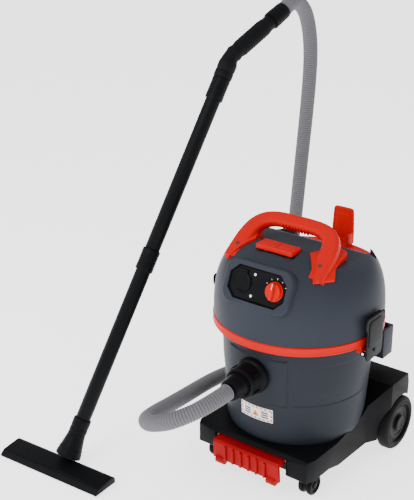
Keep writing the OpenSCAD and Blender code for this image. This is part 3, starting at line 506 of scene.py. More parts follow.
ring_mesh = bmesh.new()
lathe(ring_mesh, rounded([
    (0.1805, 0.3571), (0.1962, 0.3571, 0.002), (0.1997, 0.3604, 0.002), (0.1997, 0.3622), (0.1991, 0.3630),
    (0.1991, 0.3752), (0.1997, 0.3760), (0.1997, 0.3772, 0.002), (0.1972, 0.3798, 0.002), (0.1862, 0.3798),
    (0.1862, 0.3702), (0.1805, 0.3702), (0.1805, 0.3571)], 0.0008, 3), 180)
for flip in (1, -1):
    for low, high in (((0.1770, -0.040, 0.3400), (0.1985, 0.016, 0.3505)),
                      ((0.1770, -0.040, 0.3470), (0.1925, 0.016, 0.3600))):
        lug = block(ring_mesh, low, high, 0.002)
        if flip < 0:
            bmesh.ops.scale(ring_mesh, verts=lug, vec=(-1, 1, 1))
settle(ring_mesh, "rim_clamp_ring", signal_red, "base", ["rim_ring"])


# ---------------------------------------------------------------- motor head
# The slate-grey hood over the motor: a blow-moulded dome with a deck under the carrying handle, a
# rear tray for the coiled cable, a seat for the shaker key and a raised frame round the panel.

HEAD_FOOT = 0.3806
HEAD_TOP = 0.5686
HEAD_RADIUS = 0.198
DECK_HEIGHT = 0.5376
TRAY_HEIGHT = 0.4856
PANEL_CENTRE = Vector((0, -0.172, 0.4986))
PANEL_TURN = Matrix.Rotation(math.radians(-21), 4, "X")
KEY_Y = -0.0935
HOOD_WALL = 0.003

head_grey = plastic("head_grey", (0.027, 0.031, 0.041), 0.00008, 0.40, 0.0, 720.0, 0.10)


def on_panel(x, depth, up):
    """The place and turn of a point of the panel: across, into the head, and up its slope."""
    return Matrix.Translation(PANEL_CENTRE) @ PANEL_TURN @ Matrix.Translation((x, depth, up))


def solid(bm, name):
    """A plain hidden object that only serves to cut or join another."""
    bmesh.ops.recalc_face_normals(bm, faces=bm.faces)
    data = bpy.data.meshes.new(name)
    bm.to_mesh(data)
    bm.free()
    made = bpy.data.objects.new(name, data)
    bpy.context.scene.collection.objects.link(made)
    return made


def joined(base, steps):
    """Cuts (DIFFERENCE) or adds (UNION) each tool in turn, removes the tools, and returns the mesh."""
    for operation, tool in steps:
        cut = base.modifiers.new("cut", "BOOLEAN")
        cut.operation = operation
        cut.solver = "EXACT"
        cut.object = tool
    depsgraph = bpy.context.evaluated_depsgraph_get()
    made = bmesh.new()
    made.from_mesh(base.evaluated_get(depsgraph).to_mesh())
    for unused in (base, *[tool for _, tool in steps]):
        data = unused.data
        bpy.data.objects.remove(unused)
        bpy.data.meshes.remove(data)
    return made


def prism(outline, low, high, bevel=0.0, turn=Matrix.Identity(4), steps=3):
    """A slab with a flat outline of (x, y) points between two heights, with its rims rounded."""
    bm = bmesh.new()
    face = bm.faces.new([bm.verts.new((x, y, low)) for x, y in outline])
    side_walls = bmesh.ops.extrude_face_region(bm, geom=[face])["geom"]
    bmesh.ops.translate(bm, verts=[v for v in side_walls if isinstance(v, bmesh.types.BMVert)],
                        vec=(0, 0, high - low))
    bmesh.ops.recalc_face_normals(bm, faces=bm.faces)
    if bevel:
        rims = [e for e in bm.edges if abs(e.verts[0].co.z - e.verts[1].co.z) < 1e-7]
        bmesh.ops.bevel(bm, geom=rims, offset=bevel, segments=steps, profile=0.5, affect="EDGES",
                        material=-1, clamp_overlap=True)
    bm.transform(turn)
    return bm


def rounded_box_outline(half_x, half_y, radius, steps=5, chamfer=False):
    """A rectangle's outline about the origin, with rounded or cut corners."""
    made = []
    for k, (sx, sy) in enumerate(((1, 1), (-1, 1), (-1, -1), (1, -1))):
        centre = ((half_x - radius) * sx, (half_y - radius) * sy)
        for i in range(steps + 1) if not chamfer else (0, steps):
            angle = math.radians(90 * (k + i / steps))
            made.append((centre[0] + radius * math.cos(angle), centre[1] + radius * math.sin(angle)))
    return made


def dome_profile(shrink, steps=40):
    """The hood's quarter outline, a curve between an ellipse and a box."""
    made = []
    for i in range(steps + 1):
        angle = math.radians(90 * i / steps)
        made.append(((HEAD_RADIUS - shrink) * math.cos(angle) ** (2 / 3),
                     HEAD_FOOT + (HEAD_TOP - HEAD_FOOT - shrink) * math.sin(angle) ** (2 / 3)))
    return made


def dome_solid(shrink, foot):
    """The dome down to a foot, smaller by a shrink or larger by one below 0."""
    bm = bmesh.new()
    lathe(bm, [(0, foot), (HEAD_RADIUS - shrink, foot), *dome_profile(shrink)[:-1], (0, HEAD_TOP - shrink)],
          144, False)
    return solid(bm, "dome")


def tray_solid(grow):
    """The space over the deck and the rear tray, with soft corners and a slope between them."""
    back = 0.41 * grow
    side = rounded([
        (-0.070 - grow, HEAD_TOP + 0.030), (-0.070 - grow, DECK_HEIGHT - grow, 0.012),
        (0.062 - back, DECK_HEIGHT - grow, 0.02), (0.110 - back, TRAY_HEIGHT - grow, 0.02),
        (0.155 + grow, TRAY_HEIGHT - grow, 0.008), (0.155 + grow, HEAD_TOP + 0.030)], 0.01, 6)
    bm = prism(side, -0.240, 0.240, 0.0, FACING_RIGHT)
    bore = bmesh.new()
    lathe(bore, [(0, 0.40), (0.170 + grow, 0.40), (0.1715 + grow, 0.66), (0, 0.66)], 144, False)
    kept = joined(solid(bm, "tray"), [("INTERSECT", solid(bore, "tray_bore"))])
    return solid(kept, "tray")


def key_seat_solid(grow):
    """The recess in the deck that the shaker key sinks into."""
    return solid(prism(rounded_box_outline(0.0495 + grow, 0.0210 + grow, 0.006 + grow), 0.5526 - grow, 0.62,
                       0.0015, Matrix.Translation((0, KEY_Y, 0))), "key_seat")


def slot_solid(grow):
    """The cut through the tray's rear wall that the hook's plate is let into."""
    bm = bmesh.new()
    block(bm, (-0.104 - grow, 0.110, TRAY_HEIGHT - 0.0052 - grow), (0.104 + grow, 0.260, HEAD_TOP + 0.02))
    return solid(bm, "slot")


HOOD_CUTS = (tray_solid, key_seat_solid, slot_solid)
hollow = joined(dome_solid(HOOD_WALL, 0.30), [("DIFFERENCE", cut(HOOD_WALL)) for cut in HOOD_CUTS])
bezel = prism(rounded_box_outline(0.0865, 0.0505, 0.028, 6), -0.014, 0.010, 0.0045,
              on_panel(0, 0.006, 0) @ QUARTER_X, 5)
window = prism(rounded_box_outline(0.0742, 0.0382, 0.0200, 6, True), -0.09, 0.06, 0.0,
               on_panel(0, 0.0, 0) @ QUARTER_X)
head_mesh = joined(dome_solid(0.0, HEAD_FOOT), [
    *[("DIFFERENCE", cut(0.0)) for cut in HOOD_CUTS], ("UNION", solid(bezel, "bezel")),
    ("DIFFERENCE", solid(hollow, "hollow")), ("DIFFERENCE", solid(window, "window"))])
settle(head_mesh, "head_hood", head_grey, "head", ["head_shell"], 30, False)


# ---------------------------------------------------------------- control panel
# A black plate with cut corners, sunk in the hood's frame and held by two white screws. Small
# raised ticks on it show the switch's positions.

OUTLET_X = -0.041
KNOB_X = 0.046

panel_black = plastic("panel_black", (0.0040, 0.0042, 0.0050), 0.00003, 0.34, 0.0, 1200.0, 0.10)
print_white = plastic("print_white", (0.80, 0.80, 0.79), 0.00002, 0.42, 0.0, 1200.0, 0.08)


def panel_turn(x):
    """Lays a shape that stands on Z into the panel: its +Z points out towards the user."""
    return on_panel(x, 0, 0) @ QUARTER_X


def absorb(bm, part, turn=Matrix.Identity(4)):
    """Turns another bmesh into place and moves it into this one."""
    part.transform(turn)
    carrier = bpy.data.meshes.new("carrier")
    part.to_mesh(carrier)
    part.free()
    bm.from_mesh(carrier)
    bpy.data.meshes.remove(carrier)


def spun(profile, segments=96, closed=True):
    """A new bmesh with one profile spun round Z."""
    bm = bmesh.new()
    lathe(bm, profile, segments, closed)
    return bm


panel_mesh = prism(rounded_box_outline(0.0739, 0.0379, 0.0198, 6, True), -0.005, -0.0012, 0.0006)
absorb(panel_mesh, prism(rounded_box_outline(0.0705, 0.0348, 0.0185, 6, True), -0.0030, 0.0004, 0.0010))
for centre, radius in ((OUTLET_X, 0.0272), (KNOB_X, 0.0252)):
    absorb(panel_mesh, spun([
        (radius - 0.0030, -0.002), (radius, -0.002), (radius, 0.0006), (radius - 0.0008, 0.0011),
        (radius - 0.0022, 0.0011), (radius - 0.0030, 0.0006)], 72), Matrix.Translation((centre, 0, 0)))
panel_mesh.transform(panel_turn(0))
settle(panel_mesh, "panel_plate", panel_black, "head", ["control_panel"])

tick_mesh = bmesh.new()
for angle in (-60, -30, 0, 30, 60):
    tick = block(tick_mesh, (-0.0006, 0.0262, 0.0), (0.0006, 0.0292 if angle else 0.0302, 0.0005), 0.0002, 1)
    bmesh.ops.transform(tick_mesh, verts=tick, matrix=Matrix.Translation((KNOB_X, 0, 0))
                        @ Matrix.Rotation(math.radians(-angle), 4, "Z"))
tick_mesh.transform(panel_turn(0))
settle(tick_mesh, "switch_ticks", print_white, "head")

screw_mesh = bmesh.new()
for up in (0.024, -0.024):
    absorb(screw_mesh, spun([
        (0, -0.0015), (0.0031, -0.0015), (0.0031, 0.0005), (0.0027, 0.0010), (0.0018, 0.0013),
        (0.0009, 0.0013), (0.0009, 0.0004), (0, 0.0004)], 32, False),
        Matrix.Translation((OUTLET_X + 0.030, up, 0)))
screw_mesh.transform(panel_turn(0))
settle(screw_mesh, "panel_screw_heads", print_white, "head")


# ---------------------------------------------------------------- outlet flap
# The sprung round lid over the power-tool socket, black, hinged at its top on a barrel, with a
# dished face and a thumb tab below.

flap_mesh = bmesh.new()
lathe(flap_mesh, rounded([
    (0, 0.0006), (0.0246, 0.0006), (0.0249, 0.0030, 0.001), (0.0236, 0.0039, 0.001), (0.0212, 0.0039),
    (0.0200, 0.0031), (0.0090, 0.0034), (0, 0.0035)], 0.0008, 3), 96, False)
block(flap_mesh, (-0.0108, 0.0160, 0.0008), (0.0108, 0.0272, 0.0038), 0.0010, 3)
block(flap_mesh, (-0.0078, -0.0228, 0.0030), (0.0078, -0.0184, 0.0068), 0.0012, 3)
pin(flap_mesh, 0.0022, 0.0236, Matrix.Translation((0, 0.028, 0.0025)) @ QUARTER_Y)
flap_mesh.transform(panel_turn(OUTLET_X))
settle(flap_mesh, "outlet_lid", black_plastic, "flap", ["outlet_flap"])


# ---------------------------------------------------------------- rotary switch
# The glossy red knob: a stepped skirt, a dished face and one bar across it to turn it by, with a
# white pointer line let into the bar.

knob_mesh = bmesh.new()
lathe(knob_mesh, rounded([
    (0, -0.0002), (0.0218, -0.0002), (0.0219, 0.0030, 0.0012), (0.0204, 0.0041, 0.0010), (0.0196, 0.0048),
    (0.0186, 0.0112, 0.0014), (0.0170, 0.0119, 0.0010), (0.0155, 0.0112), (0.0060, 0.0104), (0, 0.0103)],
    0.0008, 3), 96, False)
block(knob_mesh, (-0.0038, -0.0192, 0.0040), (0.0038, 0.0192, 0.0176), 0.0016, 4)
for i in range(24):
    rib = block(knob_mesh, (0.0184, -0.0008, 0.0052), (0.0198, 0.0008, 0.0096), 0.0003, 1)
    bmesh.ops.rotate(knob_mesh, verts=rib, matrix=Matrix.Rotation(TURN * i / 24, 3, "Z"))
knob_mesh.transform(panel_turn(KNOB_X))
settle(knob_mesh, "switch_knob_cap", signal_red, "knob", ["switch_knob"])

pointer_mesh = bmesh.new()
block(pointer_mesh, (-0.0006, 0.0040, 0.0170), (0.0006, 0.0172, 0.0178), 0.0002, 1)
pointer_mesh.transform(panel_turn(KNOB_X))
settle(pointer_mesh, "switch_pointer", print_white, "knob")


# ---------------------------------------------------------------- shaker key
# The red bar that knocks the filters clean, with two oval finger pads and a groove between them.

key_mesh = bmesh.new()
block(key_mesh, (-0.0478, -0.1128, 0.5577), (0.0478, -0.0742, 0.5698), 0.0030, 4)
for flip in (-1, 1):
    absorb(key_mesh, spun(rounded([
        (0, 0.5690), (0.0130, 0.5690), (0.0126, 0.5704, 0.0008), (0.0095, 0.5711), (0, 0.5713)], 0.0006, 3),
        48, False), Matrix.Translation((flip * 0.024, KEY_Y, 0)) @ Matrix.Diagonal((1.25, 0.85, 1, 1)))
block(key_mesh, (-0.0016, -0.1100, 0.5690), (0.0016, -0.0770, 0.5708), 0.0006, 2)
for flip in (-1, 1):
    pin(key_mesh, 0.0038, 0.020, Matrix.Translation((flip * 0.030, KEY_Y, 0.551)))
settle(key_mesh, "shaker_key", signal_red, "key", ["clean_key"])


# ---------------------------------------------------------------- carrying handle
# The red bail: one hollow moulding with a flat-topped bar, whose legs widen down the hood's sides
# and end in plates. A screw holds each leg, and the grip's underside is ribbed.

BAIL_FOOT = Vector((0, -0.112, 0.5206))
BAIL_TURN = Matrix.Translation(BAIL_FOOT) @ Matrix.Rotation(math.radians(36), 4, "X")
LEG_PLAN = [(0.072, -0.076), (0.114, -0.129), (0.144, -0.090), (0.131, -0.064), (0.124, -0.008),
            (0.100, -0.008), (0.078, -0.065)]
BAIL_STEPS = 45


def skin(bm, rings):
    """Bridges rings of points into one skin, and closes its two ends."""
    loops = []
    for ring in rings:
        verts = [bm.verts.new(p) for p in ring]
        loops.append([bm.edges.new(pair) for pair in zip(verts, [*verts[1:], verts[0]])])
    for one, two in zip(loops, loops[1:]):
        bmesh.ops.bridge_loops(bm, edges=[*one, *two])
    for end in (loops[0], loops[-1]):
        bmesh.ops.contextual_create(bm, geom=end)


def arch(half, length, power, angle):
    """A point of a half oval that is squarer the smaller its power is."""
    return Vector((half * math.copysign(abs(math.cos(angle)) ** power, math.cos(angle)),
                   length * math.sin(angle) ** power, 0))


bail_rings = []
for i in range(-3, BAIL_STEPS + 4):
    angle = math.pi * min(max(i / BAIL_STEPS, 0), 1)
    outer = arch(0.1298, 0.1428, 0.55, angle)
    inner = arch(0.0882, 0.1092, 0.40, angle)
    drop = Vector((0, 0.0012 * (min(i, 0) + min(BAIL_STEPS - i, 0)), 0))
    middle, across = (outer + inner) / 2 + drop, outer - inner
    half, out = across.length / 2, across.normalized()
    crown = 0.0138 - 0.0016 * math.sin(angle)
    bail_rings.append([middle + out * x + Vector((0, 0, y))
                       for x, y in rounded_box_outline(half, crown, 0.0085)])
bail_mesh = bmesh.new()
skin(bail_mesh, bail_rings)
for i in range(9):
    block(bail_mesh, (-0.036 + 0.008 * i, 0.1066, -0.0085), (-0.032 + 0.008 * i, 0.1110, 0.0085), 0.0012, 2)
bail_mesh.transform(BAIL_TURN)


def hood_cutter():
    """The hood's own outside, a little small, that the handle's legs are cut to."""
    return solid(joined(dome_solid(0.0006, HEAD_FOOT), [("DIFFERENCE", tray_solid(-0.0006))]), "hood_cutter")


bail = joined(solid(bail_mesh, "bail"), [("DIFFERENCE", hood_cutter())])
for flip in (-1, 1):
    plan = prism([(flip * x, y) for x, y in LEG_PLAN], BAIL_FOOT.z - 0.001, 0.60)
    absorb(bail, joined(dome_solid(-0.0046, HEAD_FOOT), [
        ("INTERSECT", solid(plan, "plan")), ("DIFFERENCE", hood_cutter())]))
settle(bail, "carry_bail", signal_red, "head", ["carry_handle"], 34, False)

dark_steel = Finish("dark_steel", Metallic=0.9, IOR=1.5)
steel_grain = dark_steel.noise(420.0, 4.0)
dark_steel.drive("Base Color", dark_steel.blend(steel_grain, (0.05, 0.05, 0.055), (0.11, 0.11, 0.115)))
dark_steel.drive("Roughness", steel_grain * 0.2 + 0.28)
dark_steel.bump(steel_grain, 0.00002)
bail_screws = bmesh.new()
for flip in (-1, 1):
    absorb(bail_screws, spun([
        (0, -0.001), (0.0044, -0.001), (0.0044, 0.0006), (0.0038, 0.0014), (0.0022, 0.0015), (0.0020, 0.0004),
        (0, 0.0004)], 32, False), BAIL_TURN @ Matrix.Translation((flip * 0.109, 0.030, 0.0138)))
settle(bail_screws, "bail_screw_heads", dark_steel, "head", ["head_screws"])


# ---------------------------------------------------------------- cable hook
# The red paddle that the mains cable is wound on. It stands on a curved plate let into the rear of
# the tray, with a gusset on each side.

hook_outline = rounded([
    (0.0, TRAY_HEIGHT - 0.002), (0.0292, TRAY_HEIGHT - 0.002), (0.0292, 0.520), (0.0262, 0.5772, 0.009),
    (0.0, 0.5772)], 0.02, 6)
hook_outline = [*hook_outline[:-1], *[(-x, z) for x, z in reversed(hook_outline)][:-1]]
hook_mesh = prism(hook_outline, -0.1918, -0.1834, 0.0026, QUARTER_X, 4)
for flip in (-1, 1):
    gusset = block(hook_mesh, (0.0236, 0.1625, TRAY_HEIGHT - 0.001), (0.0290, 0.1850, TRAY_HEIGHT + 0.0335),
                   0.0018)
    if flip < 0:
        bmesh.ops.scale(hook_mesh, verts=gusset, vec=(-1, 1, 1))
block(hook_mesh, (-0.0190, 0.1822, 0.505), (0.0190, 0.1850, 0.562), 0.0013)
plate_low = prism(rounded_box_outline(0.1034, 0.0180, 0.006, 4), TRAY_HEIGHT - 0.0047, TRAY_HEIGHT + 0.0009,
                  0.0012, Matrix.Translation((0, 0.1742, 0)))
bound = spun([(0, 0.46), (0.1915, 0.46), (0.1915, 0.50), (0, 0.50)], 144, False)
absorb(hook_mesh, joined(solid(plate_low, "plate"), [("INTERSECT", solid(bound, "bound"))]))
settle(hook_mesh, "cable_paddle", signal_red, "head", ["cable_hook"], 34)


# ---------------------------------------------------------------- latches
# Two black over-centre latches, one on each side: a plate on a pin at its foot, ribbed for the
# fingers, with a wide hooked top that pulls the hood down onto the ring.

PIN_X = 0.199
PIN_HEIGHT = 0.345
LATCH_Y = -0.012
LATCH_FACE = 0.21045
EAR_WIDTH = 0.0036
EAR_HALF = 0.0056

for flip, side_name in ((1, "right"), (-1, "left")):
    latch_mesh = bmesh.new()
    absorb(latch_mesh, prism(rounded([
        (-0.012, 0.3255), (0.0228, 0.3255, 0.014), (0.0238, 0.400, 0.004), (0.0298, 0.409, 0.004),
        (0.0298, 0.4312, 0.011), (-0.0548, 0.4312, 0.011), (-0.0548, 0.409, 0.004), (-0.0478, 0.400, 0.004),
        (-0.0478, 0.3255, 0.014), (-0.012, 0.3255)], 0.004, 6)[:-1], 0.2057, 0.2088, 0.0014, FACING_RIGHT))
    absorb(latch_mesh, prism(rounded_box_outline(0.0290, 0.0330, 0.0110), 0.2070, 0.2104, 0.0013,
                             Matrix.Translation((0, LATCH_Y, 0.3885)) @ FACING_RIGHT))
    absorb(latch_mesh, spun([
        (0, 0.2090), (0.0042, 0.2090), (0.0042, 0.2104), (0.0030, LATCH_FACE), (0, LATCH_FACE)], 32, False),
        Matrix.Translation((0, LATCH_Y, PIN_HEIGHT)) @ FACING_RIGHT)
    for i in range(5):
        rise = i * 0.0090
        block(latch_mesh, (0.2097, -0.034, 0.3680 + rise), (LATCH_FACE, 0.010, 0.3715 + rise), 0.0003, 1)
    block(latch_mesh, (0.1992, -0.0398, 0.4232), (0.2075, 0.0158, 0.4308), 0.0014)
    for low_y in (-0.0478, 0.0202):
        pin(latch_mesh, 0.0058, EAR_WIDTH, Matrix.Translation((PIN_X, low_y + EAR_WIDTH / 2, PIN_HEIGHT))
            @ QUARTER_X, 32)
        block(latch_mesh, (PIN_X, low_y, PIN_HEIGHT - EAR_HALF),
              (0.2070, low_y + EAR_WIDTH, PIN_HEIGHT + EAR_HALF), 0.0005, 1)
    bmesh.ops.scale(latch_mesh, verts=latch_mesh.verts, vec=(flip, 1, 1))
    settle(latch_mesh, f"latch_plate_{side_name}", black_plastic, f"latch_arm_{side_name}",
           [f"latch_{side_name}"])


# ---------------------------------------------------------------- trolley
# The black undercarriage the tank stands in: a tray with cut front corners, side members that rise
# to two rear towers over the wheels, and a tool holder clipped on behind. Moulded with soft edges.

trolley_black = plastic("trolley_black", (0.0034, 0.0036, 0.0044), 0.00012, 0.46, 0.0, 520.0, 0.14)


def moulded(node, radius, steps=2, least=28):
    """A copy of a made part with its flat faces joined and its sharp edges rounded."""
    bm = bmesh.new()
    bm.from_mesh(nodes[node].data)
    bmesh.ops.remove_doubles(bm, verts=bm.verts, dist=2e-6)
    bmesh.ops.dissolve_limit(bm, angle_limit=math.radians(0.8), verts=bm.verts, edges=bm.edges)
    sharp = [e for e in bm.edges if e.is_manifold and e.calc_face_angle() > math.radians(least)]
    bmesh.ops.bevel(bm, geom=sharp, offset=radius, segments=steps, profile=0.5, affect="EDGES",
                    material=-1, clamp_overlap=True)
    return bm


settle(moulded("trolley_frame", 0.0035, 3), "trolley_chassis", trolley_black, "base",
       ["trolley_frame"], 34, False)
settle(moulded("tool_holder", 0.0020, 3), "tool_sockets", head_grey, "base",
       ["tool_holder"], 34, False)


# ---------------------------------------------------------------- rear wheels
# Large plain-bearing wheels on a steel axle: a soft tyre with cross grooves, a black disc with
# stepped rings and six webs behind it, and a domed cap over the axle's end.

WHEEL_RADIUS = 0.068
WHEEL_Y = 0.162
WHEEL_INNER = 0.168
tyre_rubber = Finish("tyre_rubber", IOR=1.52, Specular_IOR_Level=0.08)
rubber_grain = tyre_rubber.noise(520.0, 3.0, 0.6)
rubber_dust = tyre_rubber.noise(26.0, 5.0, 0.7)
tyre_rubber.drive("Base Color", tyre_rubber.blend(
    rubber_dust * 0.6, (0.0045, 0.0045, 0.0050), (0.0110, 0.0105, 0.0100)))
tyre_rubber.drive("Roughness", rubber_dust * 0.14 + 0.56)
tyre_rubber.bump(rubber_grain, 0.00008)


def wheel_turn(flip):
    """Lays a wheel that stands on Z along X on its axle, mirrored on the left."""
    return (Matrix.Diagonal((flip, 1, 1, 1)) @ Matrix.Translation((WHEEL_INNER, WHEEL_Y, WHEEL_RADIUS))
            @ QUARTER_Y)


for flip, side_name in ((1, "right"), (-1, "left")):
    body = f"rear_wheel_{side_name}"
    tyre_mesh = spun(rounded([
        (0.0521, 0.0012), (0.0600, 0.0012), (0.0640, 0.0032, 0.003), (0.0676, 0.0070, 0.004),
        (0.0679, 0.0170), (0.0676, 0.0270, 0.004), (0.0640, 0.0308, 0.003), (0.0600, 0.0328, 0.002),
        (0.0575, 0.0324), (0.0560, 0.0318), (0.0545, 0.0324), (0.0521, 0.0328), (0.0521, 0.0012)],
        0.002, 4), 120)
    for i in range(60):
        lug = block(tyre_mesh, (0.0655, -0.0009, 0.0085), (0.0679, 0.0009, 0.0255), 0.0003, 1)
        bmesh.ops.rotate(tyre_mesh, verts=lug, matrix=Matrix.Rotation(TURN * (i + 0.5) / 60, 3, "Z"))
    tyre_mesh.transform(wheel_turn(flip))
    settle(tyre_mesh, f"tyre_tread_{side_name}", tyre_rubber, body, [f"tyre_{side_name}"])
    rim_mesh = spun(rounded([
        (0.0081, 0.0002), (0.0158, 0.0002), (0.0160, 0.0200), (0.0482, 0.0212), (0.0482, 0.0012),
        (0.0519, 0.0012), (0.0519, 0.0318, 0.002), (0.0490, 0.0322, 0.001), (0.0478, 0.0268),
        (0.0430, 0.0262), (0.0415, 0.0276), (0.0330, 0.0276), (0.0315, 0.0262), (0.0250, 0.0262),
        (0.0235, 0.0278), (0.0212, 0.0279), (0.0205, 0.0262), (0.0081, 0.0262), (0.0081, 0.0002)],
        0.0007, 3), 96)
    for i in range(6):
        web = block(rim_mesh, (0.0120, -0.0019, 0.0042), (0.0490, 0.0019, 0.0215), 0.0006, 1)
        bmesh.ops.rotate(rim_mesh, verts=web, matrix=Matrix.Rotation(TURN * i / 6, 3, "Z"))
    rim_mesh.transform(wheel_turn(flip))
    settle(rim_mesh, f"wheel_disc_{side_name}", black_plastic, body, [f"rim_{side_name}"])
    cap_mesh = spun(rounded([
        (0.0092, 0.0282), (0.0198, 0.0282), (0.0197, 0.0300, 0.001), (0.0172, 0.0334, 0.0015),
        (0.0120, 0.0338), (0.0112, 0.0330), (0, 0.0331)], 0.0008, 3) + [(0, 0.0292), (0.0092, 0.0292)], 64)
    cap_mesh.transform(wheel_turn(flip))
    settle(cap_mesh, f"wheel_cap_{side_name}", black_plastic, body, [f"hub_cap_{side_name}"])


# ---------------------------------------------------------------- front castors
# Twin-wheel swivel castors: a hooded fork on a stem, and two black wheels with a rounded tread and
# a sunk face, on one short axle.

CASTOR_X = 0.128
CASTOR_AXLE = (-0.132, 0.025)
for flip, side_name in ((1, "right"), (-1, "left")):
    settle(moulded(f"castor_fork_{side_name}", 0.0009), f"castor_hood_{side_name}", black_plastic,
           f"castor_{side_name}", [f"castor_fork_{side_name}"], 34, False)
    roller_mesh = spun([(0, -0.0165), (0.0028, -0.0165), (0.0028, 0.0165), (0, 0.0165)], 24, False)
    for end in (0, 1):
        absorb(roller_mesh, spun(rounded([
            (0, 0.0044), (0.0205, 0.0044), (0.0236, 0.0052, 0.002), (0.0249, 0.0085, 0.003), (0.0249, 0.0125),
            (0.0236, 0.0158, 0.003), (0.0205, 0.0170, 0.001), (0.0172, 0.0170, 0.001), (0.0160, 0.0140),
            (0.0082, 0.0134), (0.0070, 0.0165, 0.001), (0, 0.0169)], 0.001, 3), 64, False),
            Matrix.Rotation(math.pi * end, 4, "X"))
    roller_mesh.transform(Matrix.Translation((flip * CASTOR_X, *CASTOR_AXLE)) @ QUARTER_Y)
    settle(roller_mesh, f"castor_rollers_{side_name}", black_plastic, f"castor_roller_{side_name}",
           [f"castor_wheels_{side_name}"])


# ---------------------------------------------------------------- brake pedal
# The red foot pedal across the front, hinged on a steel pin, with six ribs on its face and a round
# foot under each end that presses on the floor.

pedal_red = plastic("pedal_red", (0.27, 0.0020, 0.0040), 0.00006, 0.45, 0.0, 700.0, 0.14)
settle(moulded("brake_pedal", 0.0014, 3), "brake_pedal_bar", pedal_red, "pedal",
       ["brake_pedal"], 34, False)


# ---------------------------------------------------------------- wand
# Two black plastic tubes of the 35 mm system, each with a collar that takes the next. The collars
# are ringed with grooves for the hand and carry a small push-button catch.

TUBE_RADIUS = 0.018
LOWER_END = 0.385
UPPER_START = 0.391
UPPER_END = 0.820


def tube_with_collar(name, start, end, node):
    """A wand tube from its start to its end, where the collar over the next tube begins."""
    bore = TUBE_RADIUS - 0.0018
    outline = [(bore, start + 0.001), (bore + 0.001, start), (TUBE_RADIUS - 0.0004, start),
               (TUBE_RADIUS, start + 0.0008), (TUBE_RADIUS, end - 0.0042), (0.0205, end - 0.0040),
               (0.0213, end - 0.0030), (0.0215, end + 0.0060)]
    for i in range(5):
        ring = end + 0.0100 + 0.0062 * i
        outline += [(0.0215, ring), (0.0207, ring + 0.0008), (0.0207, ring + 0.0022), (0.0215, ring + 0.0030)]
    outline += [(0.0215, end + 0.0475), (0.0208, end + 0.0498), (0.0182, end + 0.0498), (0.0181, end),
                (bore, end)]
    bm = spun(outline, 72)
    pad = prism(rounded_box_outline(0.0045, 0.0070, 0.0030, 4), 0.0195, 0.0226, 0.0008,
                Matrix.Translation((0, 0, end + 0.0405)) @ Matrix.Rotation(-TURN / 4, 4, "Y")
                @ Matrix.Diagonal((0.62, 1, 0.94, 1)))
    absorb(bm, pad)
    bm.transform(along_wand(0))
    settle(bm, name, black_plastic, "base", [node])


tube_with_collar("wand_tube_lower", -0.038, LOWER_END, "wand_lower")
tube_with_collar("wand_tube_upper", UPPER_START, UPPER_END, "wand_upper")


# ---------------------------------------------------------------- wand handle
# The bent black hand tube at the top of the wand: an air-slide collar below the bend, a softly
# flattened elbow, and a ribbed grip that ends at the hose's cuff.

ELBOW_REACH = 0.012
grip_black = plastic("grip_black", (0.0048, 0.0050, 0.0058), 0.00010, 0.50, 0.0, 700.0, 0.10)
handle_stations = []
for reach, radius in (
        (0.826, 0.0170), (0.826, 0.0180), (0.850, 0.0180), (0.8705, 0.0180), (0.8706, 0.0212),
        (0.8714, 0.0222), (0.8730, 0.0224), (0.8860, 0.0224), (0.8875, 0.0214), (0.8900, 0.0214),
        (0.8915, 0.0224), (0.9070, 0.0224), (0.9100, 0.0216)):
    handle_stations.append((along_wand(reach), radius))
for i in range(9):
    share = i / 8
    turn = along_wand(BEND_AT - ELBOW_REACH * (1 - share)) @ Matrix.Rotation(BEND_ANGLE * share, 4, "Y")
    handle_stations.append((turn @ Matrix.Translation((0, 0, ELBOW_REACH * share)),
                            0.0205 - 0.0018 * math.sin(math.pi * share)))
grip_stations = [(0.020, 0.0186), (0.0275, 0.0188), (0.0290, 0.0198), (0.0330, 0.0200)]
for i in range(9):
    rib = 0.0340 + 0.0094 * i
    grip_stations += [(rib, 0.0200), (rib + 0.0006, 0.0208), (rib + 0.0044, 0.0208), (rib + 0.0050, 0.0200),
                      (rib + 0.0090, 0.0199)]
grip_stations += [(0.1215, 0.0198), (0.1230, 0.0187), (0.1420, 0.0183), (0.1429, 0.0180), (0.1429, 0.0168)]
handle_stations += [(along_grip(reach), radius) for reach, radius in grip_stations]
handle_mesh = bmesh.new()
skin(handle_mesh, [[turn @ Vector((radius * math.cos(TURN * k / 48), radius * math.sin(TURN * k / 48), 0))
                    for k in range(48)] for turn, radius in handle_stations])
settle(handle_mesh, "wand_hand_tube", grip_black, "base", ["wand_handle"], 40)


# ---------------------------------------------------------------- floor nozzle
# The flat 300 mm nozzle: a wedge-shaped black body with a rounded nose, a swivel neck that takes
# the wand, and a strip of bristle along each long edge of its mouth.

NOZZLE_TURN = Matrix.Translation((-0.397, -0.420, 0)) @ Matrix.Rotation(math.radians(3), 4, "Z")
nozzle_side = rounded([
    (0.0, 0.0030), (-0.0352, 0.0030, 0.001), (-0.0355, 0.0068, 0.003), (-0.0240, 0.0172, 0.006),
    (0.0270, 0.0212, 0.004), (0.0350, 0.0168, 0.004), (0.0355, 0.0030, 0.001), (0.0, 0.0030)], 0.002, 5)
nozzle_mesh = prism(nozzle_side[:-1], -0.1495, 0.1495, 0.0035, FACING_RIGHT, 4)
for y in (-0.0270, 0.0300):
    block(nozzle_mesh, (-0.143, y - 0.0034, 0.0006), (0.143, y + 0.0034, 0.0050), 0.0008, 1)
for flip in (-1, 1):
    block(nozzle_mesh, (flip * 0.066 - 0.046, -0.0215, 0.0150), (flip * 0.066 + 0.046, -0.0195, 0.0186),
          0.0006, 2)
nozzle_mesh.transform(NOZZLE_TURN)
